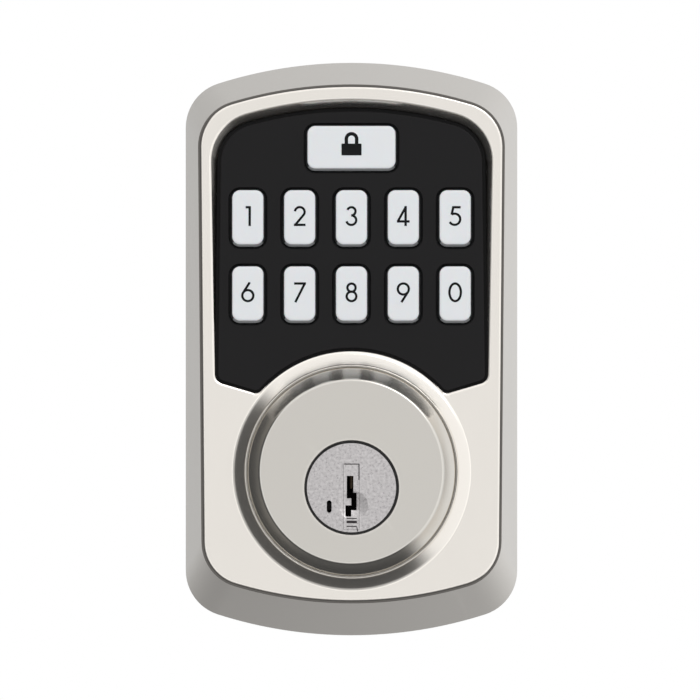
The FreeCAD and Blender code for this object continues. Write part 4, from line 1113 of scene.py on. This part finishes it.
@dataclass
class KeyCap:
    """A key cap: a softly rounded front, flanks that spread in the opening, a brim behind the panel. The
    brim's edge and the flanks are painted dark as shade, and flank faces that turn down near the front take
    a lighter painted shade.
    """

    corner: float = 2.1
    brim: float = 1.05
    brim_back: float = 3.0
    brim_front: float = 2.8
    proud: float = 1.3
    raise_by: float = 0.18
    raise_over: float = 0.3
    # how many rings from the back are painted dark as shade, and which downward flank faces take the lighter
    # painted shade
    flank_shade_rings: int = 6
    shade_slope: float = -0.6
    shade_front: float = 0.8
    profile: Steps = (
        (0.0, -1.3), (0.02, -0.3), (0.06, 0.1), (0.31, 0.90), (0.35, 1.05), (0.41, 1.15), (0.52, 1.22),
        (0.72, 1.27), (1.00, 1.293), (1.45, 1.30),
    )

    def build(self, name: str, wide: float, high: float) -> Thing:
        """Model a cap at the middle of the keypad's frame.

        Args:
            name: the object's name.
            wide: the cap's width.
            high: the cap's height.

        Returns:
            The mesh object, in the keypad's frame, in metres.
        """
        base = key_outline(Key(name, 0.0, 0.0, wide, high), 0.0, self.corner)
        brim = base.grown(self.brim)
        shell = Shell(name)
        rings = [brim.ring(-self.brim_back), brim.ring(-self.brim_front), base.ring(-self.brim_front)]
        for inset, ahead in self.profile:
            up = self.raise_by * min(inset / self.raise_over, 1.0)
            rings.append(base.grown(-inset).ring(ahead, Matrix.Translation((0.0, 0.0, up * MM))))
        # the rings from the back up to the flanks' top take the dark painted shade; the front stays white
        dark = self.flank_shade_rings
        rear, foot = shell.run(*rings[:dark], finish=1)
        head, front = shell.run(*rings[dark:])
        shell.join(foot, head, 1)
        shell.flat(rear)
        shell.flat(front)
        cap = shell.build(60.0)
        # flank faces turned down near the front take the lighter painted shade instead
        for face in cap.data.polygons:
            turned_down = face.normal.z < self.shade_slope and face.center.y > -self.shade_front * MM
            if face.material_index == 1 and turned_down:
                face.material_index = 2
        return cap


# ---- legends


def arc(x: float, y: float, wide: float, high: float, start: float, end: float, steps: int = 20,
        ) -> list[Pair]:
    """Points along an ellipse's arc.

    Args:
        x: the middle, across.
        y: the middle, upwards.
        wide: the ellipse's half width.
        high: its half height.
        start: where the arc starts, in degrees counter-clockwise from +X.
        end: where it ends.
        steps: how many steps it takes.

    Returns:
        The points, in the same unit as the middle.
    """
    found = []
    for step in range(steps + 1):
        turn = math.radians(start + (end - start) * step / steps)
        found.append((x + wide * math.cos(turn), y + high * math.sin(turn)))
    return found


LOOP_END = 342


def line(*points: Pair) -> Stroke:
    """A stroke through points, with two ends."""
    return list(points), False


def loop(x: float, y: float, wide: float, high: float, steps: int = 38) -> Stroke:
    """A stroke round an ellipse, which closes on itself over the last stretch."""
    return arc(x, y, wide, high, 0, LOOP_END, steps), True


# each stroke: points in millimetres about the legend's middle, and whether it closes on itself
STROKES: dict[str, list[Stroke]] = {
    "0": [loop(0, 0, 1.30, 2.0)],
    "1": [line((0.42, -2.25), (0.42, 2.25)), line((0.60, 2.0), (-0.48, 2.0))],
    "2": [line(*arc(0.02, 0.93, 1.10, 1.10, 172, -32), (-1.05, -2.05)), line((-1.3, -2.0), (1.32, -2.0))],
    "3": [line(*arc(-0.02, 1.08, 0.93, 0.93, 160, -90)), line(*arc(-0.05, -0.93, 1.12, 1.08, 91, -165))],
    "4": [line((0.52, -2.25), (0.52, 2.25)), line((0.52, 2.0), (-1.25, -1.22)),
          line((-1.45, -1.22), (1.42, -1.22))],
    "5": [line((1.25, 2.0), (-0.62, 2.0)), line((-0.38, 2.2), (-0.80, 0.32)),
          line(*arc(-0.12, -0.72, 1.27, 1.27, 122, -150))],
    "6": [loop(0, -0.75, 1.25, 1.25), line((-1.13, -0.20), (0.42, 2.25))],
    "7": [line((-1.25, 2.0), (1.42, 2.0)), line((1.22, 2.12), (-0.98, -2.25))],
    "8": [loop(0, 1.05, 0.93, 0.93, 30), loop(0, -0.92, 1.10, 1.08, 30)],
    "9": [loop(0, 0.75, 1.25, 1.25), line((1.13, 0.20), (-0.42, -2.25))],
    "lock": [line((-1.17, -0.6), (-1.17, 0.72), *arc(0, 0.72, 1.17, 1.17, 180, 0), (1.17, -0.6))],
}


@dataclass
class Legend:
    """An inlaid mark on a key: strokes of one width, a hair proud of the cap."""

    stroke: float = 0.56
    shackle_stroke: float = 0.80
    thickness: float = 0.16
    rise: float = 0.45
    lock_rise: float = 0.88
    lock_body: tuple[float, float, float] = (4.55, 2.66, -1.68)
    lock_edge: float = 0.12
    smooth: float = 40.0

    def build(self, name: str, label: str, key: Key, proud: float) -> Thing:
        """Draw the strokes as a curve with a round section, then press them flat.

        Args:
            name: the object's name.
            label: which legend.
            key: the key that carries it.
            proud: how far the cap's front stands ahead of the panel.

        Returns:
            The mesh object, in the keypad's frame, in metres.
        """
        width = self.shackle_stroke if label == "lock" else self.stroke
        curve = bpy.data.curves.new(name, "CURVE")
        curve.dimensions = "3D"
        curve.bevel_depth = width / 2 * MM
        curve.bevel_resolution = 3
        curve.use_fill_caps = True
        for points, closed in STROKES[label]:
            spline = curve.splines.new("POLY")
            spline.points.add(len(points) - 1)
            for point, (x, y) in zip(spline.points, points):
                point.co = (x * MM, 0.0, y * MM, 1.0)
            spline.use_cyclic_u = closed
        piece = mesh_of(curve)
        if label == "lock":
            self.add_lock_body(piece)
        close_and_smooth(piece, self.smooth)
        take(piece)
        piece.scale = (1.0, self.thickness / width, 1.0)
        rise = self.rise + (self.lock_rise if label == "lock" else 0.0)
        piece.location = Vector((key.x, -proud, key.up + rise)) * MM
        settle(piece)
        bpy.ops.object.shade_smooth_by_angle(angle=math.radians(self.smooth))
        return piece

    def add_lock_body(self, piece: Thing) -> None:
        """Join the padlock's body to its shackle.

        Args:
            piece: the shackle, not yet pressed flat.
        """
        wide, high, up = self.lock_body
        take(piece)
        bpy.ops.object.mode_set(mode="EDIT")
        bpy.ops.mesh.select_all(action="DESELECT")
        bpy.ops.mesh.primitive_cube_add(size=1.0, location=(0.0, 0.0, up * MM))
        bpy.ops.transform.resize(
            value=(wide * MM, self.shackle_stroke * MM, high * MM), center_override=(0.0, 0.0, up * MM))
        bpy.ops.mesh.bevel(offset=self.lock_edge * MM, segments=2, affect="EDGES")
        bpy.ops.object.mode_set(mode="OBJECT")


@dataclass
class KeySet:
    """All eleven keys with their legends."""

    keypad: Keypad
    pitch: float = 11.75
    row_top: float = 61.1
    row_foot: float = 43.8
    lock_height: float = 77.0
    lock_wide: float = 20.6
    lock_high: float = 10.3
    # the caps' white, then the two painted shades on their flanks
    finishes: tuple[str, ...] = ("key_white", "key_flank_painted_shade", "key_lower_flank_painted_shade")
    cap: KeyCap = field(default_factory=KeyCap)
    legend: Legend = field(default_factory=Legend)

    def places(self) -> list[Key]:
        """Set the keys out in their two rows, with the wide one above.

        Returns:
            Every key in the keypad's frame.
        """
        found = []
        for row, digits in ((self.row_top, "12345"), (self.row_foot, "67890")):
            for column, digit in enumerate(digits):
                found.append(Key(digit, self.pitch * (column - 2), row - self.keypad.foot))
        found.append(Key("lock", 0.0, self.lock_height - self.keypad.foot, self.lock_wide, self.lock_high))
        return found

    def build(self) -> None:
        """Model one number cap and the wide cap, copy them to their places and add the legends."""
        models: dict[tuple[float, float], Thing] = {}
        into = self.keypad.matrix()
        for key in self.places():
            size = (key.wide, key.high)
            if size not in models:
                models[size] = self.cap.build("cap_model", *size)
            place = Matrix.Translation(Vector((key.x, 0.0, key.up)) * MM)
            cap = copy_of(models[size], f"cap_{key.label}", place)
            mark = self.legend.build(f"legend_{key.label}", key.label, key, self.cap.proud)
            for piece in (cap, mark):
                piece.matrix_world = into
                settle(piece)
            body = f"key_{key.label}"
            dress(cap, body, "key_white", self.finishes, body)
            dress(mark, body, "key_white", ("legend_ink",))
        for model in models.values():
            bpy.data.objects.remove(model)


# ---- plug


@dataclass
class PlugFront:
    """The seams of the keyway's insert, as thin dark strips of painted shadow, and the banded tongue under
    the keyway, on the plug's face.
    """

    face: float = 30.6
    proud: float = 0.02
    tongue: tuple[float, float, float, float] = (0.05, -7.86, 2.44, 2.62)
    tongue_back: float = 29.8
    tongue_corner: float = 0.10
    tongue_edge: float = 0.04
    tongue_ease: float = 0.6
    seam_back: float = 0.10
    seam_proud: float = 0.02
    seams: tuple[tuple[float, float, float, float, float], ...] = (
        (-1.66, 5.36, 1.80, 5.36, 0.24),
        (1.70, 5.36, 1.70, 1.75, 0.24),
        (-1.13, -6.97, 1.22, -6.97, 0.22),
        (-1.13, -7.62, 1.22, -7.62, 0.34),
        (-1.13, -7.88, 1.22, -7.88, 0.34),
        (-1.13, -8.75, 1.22, -8.75, 0.24),
        (1.22, -8.95, 1.38, -9.90, 0.22),
    )

    def build(self) -> None:
        """Model the tongue and the seams, and dress them."""
        outline = key_outline(Key("tongue", *self.tongue), 0.0, self.tongue_corner)
        shell = Shell("plug_tongue")
        back, front = shell.run(*outline.stack((
            (0.0, self.tongue_back),
            (0.0, self.face - self.tongue_edge),
            (-self.tongue_edge / 2, self.face + self.proud * self.tongue_ease),
            (-self.tongue_edge * 2, self.face + self.proud),
        )))
        shell.flat(back)
        shell.flat(front)
        dress(shell.build(60.0), "plug", "insert_steel", ("insert_steel",))
        # each seam is a thin dark strip standing on the face, the painted shadow of a join
        lines = Shell("plug_seam_shadows")
        levels = (self.face - self.seam_back, self.face + self.proud + self.seam_proud)
        for x1, up1, x2, up2, wide in self.seams:
            start, end = Vector((x1, up1)), Vector((x2, up2))
            along = (end - start).normalized() * (wide / 2)
            aside = Vector((-along.y, along.x))
            corners = (start - aside, end - aside, end + aside, start + aside)
            low, high = lines.run(*([Vector((c.x, -ahead, c.y)) * MM for c in corners] for ahead in levels))
            lines.flat(low)
            lines.flat(high)
        dress(lines.build(), "plug", "insert_steel", ("seam_shadow",))


# ---- springs

# how far ahead of the door the five tumblers' springs stand
PIN_PLACES = (24.30, 20.49, 16.68, 12.87, 9.06)


@dataclass
class PressedSpring:
    """A coil spring from the frame as a piece of its own, named after a joint.

    Of a node with several coils it keeps what lies within reach of its place, which is a distance ahead.
    """

    node: str
    joint: str
    travel: float
    axis: int
    place: float | None = None
    reach: float = 1.2
    slack: float = 0.02

    def build(self) -> None:
        """Copy the coil that stands at the place, or the whole node, and dress it."""
        source = frame["nodes"][self.node]
        spring = copy_of(source, self.joint.rsplit("_", 1)[0] + "_coil", source.matrix_world.copy())
        if self.place is not None:
            work = bmesh.new()
            work.from_mesh(spring.data)
            away = [vertex for vertex in work.verts if abs(vertex.co.y + self.place * MM) > self.reach * MM]
            bmesh.ops.delete(work, geom=away, context="VERTS")
            work.to_mesh(spring.data)
            work.free()
        slot = SLOTS[self.node]
        dress(spring, "plug", slot, (slot,), self.node)
        along = [vertex.co[self.axis] for vertex in spring.data.vertices]
        far = max(along)
        direction, anchor = [0.0, 0.0, 0.0], [0.0, 0.0, 0.0]
        direction[self.axis], anchor[self.axis] = 1.0, far
        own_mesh(spring)


# ---- studio


@dataclass
class Studio:
    """Camera, soft lamps, pale floor and white surroundings."""

    centre: tuple[float, float, float] = (-0.00034, 0.0, 0.0312)
    distance: float = 6.5
    field_width: float = 0.1587
    face_ahead: float = 0.025
    sensor: float = 36.0
    clip: tuple[float, float] = (0.5, 40.0)
    floor_drop: float = 0.12
    floor_size: float = 8.0
    floor_shade: float = 0.80
    floor_glow: float = 0.45
    # what metal mirrors, by direction: a ramp turns one part of the direction into a level or a share
    low_level: Ramp = (0.30, 0.52, 0.09, 0.60)
    rim_share: Ramp = (-0.24, 0.02, 0.0, 1.0)
    rim_level: float = 1.15
    belt_share: Ramp = (-0.48, -0.24, 0.0, 1.0)
    behind_level: float = 0.15
    back_level: Ramp = (-0.57, -0.05, 0.43, 0.65)
    back_slope: float = 0.30
    sides_share: Ramp = (-0.81, -0.70, 0.0, 1.0)
    ahead_share: Ramp = (0.88, 0.93, 0.0, 1.0)
    ahead_level: Ramp = (0.965, 0.985, 1.50, 0.93)
    plain_level: float = 0.62

    def camera(self) -> None:
        """A long lens, straight on to the face."""
        data = bpy.data.cameras.new("camera")
        data.sensor_width = self.sensor
        reach = self.distance - self.face_ahead
        data.lens = self.sensor * reach / self.field_width
        data.clip_start, data.clip_end = self.clip
        camera = placed("camera", data)
        camera.location = (self.centre[0], -self.distance, self.centre[2])
        camera.rotation_euler = (math.pi / 2, 0.0, 0.0)
        bpy.context.scene.camera = camera

    def softbox(self, name: str, place: tuple[float, float, float], size: tuple[float, float], watts: float,
                mirrored: bool) -> None:
        """A rectangular lamp that faces the object.

        Args:
            name: the lamp's name.
            place: where it stands, in metres.
            size: its width and height, in metres.
            watts: its power.
            mirrored: whether it shows in metal.
        """
        data = bpy.data.lights.new(name, "AREA")
        data.shape = "RECTANGLE"
        data.size, data.size_y = size
        data.energy = watts
        lamp = placed(name, data)
        lamp.location = place
        aim = Vector(self.centre) - Vector(place)
        lamp.rotation_euler = aim.to_track_quat("-Z", "Y").to_euler()
        lamp.visible_camera = False
        lamp.visible_glossy = mirrored

    def floor(self) -> None:
        """A pale floor under the case that keeps its shadow."""
        bpy.ops.mesh.primitive_plane_add(size=self.floor_size, location=(0.0, 0.0, -self.floor_drop))
        floor = bpy.context.object
        floor.name = "floor"
        material = bpy.data.materials.new("pale floor")
        material.use_nodes = True
        tree = Tree(material.node_tree)
        shader = material.node_tree.nodes["Principled BSDF"]
        shader.inputs["Base Color"].default_value = (*(self.floor_shade,) * 3, 1.0)
        shader.inputs["Roughness"].default_value = 0.8
        shader.inputs["Emission Color"].default_value = (1.0, 1.0, 1.0, 1.0)
        seen = tree.add("LightPath").outputs["Is Camera Ray"]
        tree.link(tree.math("MULTIPLY", seen, self.floor_glow), shader.inputs["Emission Strength"])
        floor.data.materials.append(material)
        floor.visible_glossy = False

    def surroundings(self) -> None:
        """White where it is seen directly, graded where metal mirrors it, and a plain level elsewhere."""
        world = bpy.data.worlds.new("studio")
        bpy.context.scene.world = world
        world.use_nodes = True
        tree = Tree(world.node_tree)
        world.node_tree.nodes.clear()
        path = tree.add("LightPath")
        seen = tree.math("MAXIMUM", path.outputs["Is Camera Ray"], path.outputs["Is Transmission Ray"])
        way = tree.add("TexCoord").outputs["Generated"]
        parts = tree.add("SeparateXYZ", {0: way}).outputs
        across, up = parts["X"], parts["Z"]
        front = tree.math("MULTIPLY", parts["Y"], -1.0)
        rim = tree.ramp(tree.math("ADD", across, up), *self.rim_share)
        belt = tree.blend(rim, tree.ramp(front, *self.low_level), self.rim_level)
        band = tree.blend(tree.ramp(front, *self.belt_share), self.behind_level, belt)
        slope = tree.math("MULTIPLY", across, self.back_slope)
        back = tree.math("ADD", tree.ramp(up, *self.back_level), slope)
        sides = tree.blend(tree.ramp(front, *self.sides_share), back, band)
        window = tree.ramp(front, *self.ahead_level)
        level = tree.blend(tree.ramp(front, *self.ahead_share), sides, window)
        metal = tree.math("MAXIMUM", seen, path.outputs["Is Glossy Ray"])
        strength = tree.blend(metal, self.plain_level, tree.math("MAXIMUM", seen, level))
        light = tree.add("Background", {"Color": (1.0, 1.0, 1.0, 1.0), "Strength": strength})
        tree.add("OutputWorld", {"Surface": light.outputs[0]})

    def build(self) -> None:
        """Set the whole studio up."""
        self.camera()
        self.floor()
        self.surroundings()
        self.softbox("key_light", place=(0.7, -1.1, 1.1), size=(0.9, 0.9), watts=9.0, mirrored=True)
        self.softbox("fill_light", place=(-1.3, -1.1, 0.4), size=(0.9, 1.2), watts=5.0, mirrored=False)
        bpy.context.scene.view_settings.view_transform = "Standard"


# ---- assembly


def dress_frame_nodes() -> None:
    """Give every CAD node that stays the finish of its own slot."""
    for name, node in frame["nodes"].items():
        node.data.materials.clear()
        node.data.materials.append(material_of(SLOTS[name]))


def main() -> None:
    """Build the studio, the finishes and the sub-assemblies, in that order."""
    logging.basicConfig(level=logging.INFO, format="%(name)s: %(message)s")
    deselect_all()
    Studio().build()
    dress_frame_nodes()
    keypad = Keypad()
    keys = KeySet(keypad)
    for assembly in (Escutcheon(keypad), Guard(), Panel(keypad, keys.places()), keys, PlugFront()):
        assembly.build()
    for number, place in enumerate(PIN_PLACES, 1):
        PressedSpring("tumbler_springs", f"tumbler_{number}_lift", 2.4, 2, place).build()
    PressedSpring("reset_spring", "reset_press", 1.5, 1).build()


if __name__ == "__main__":
    main()
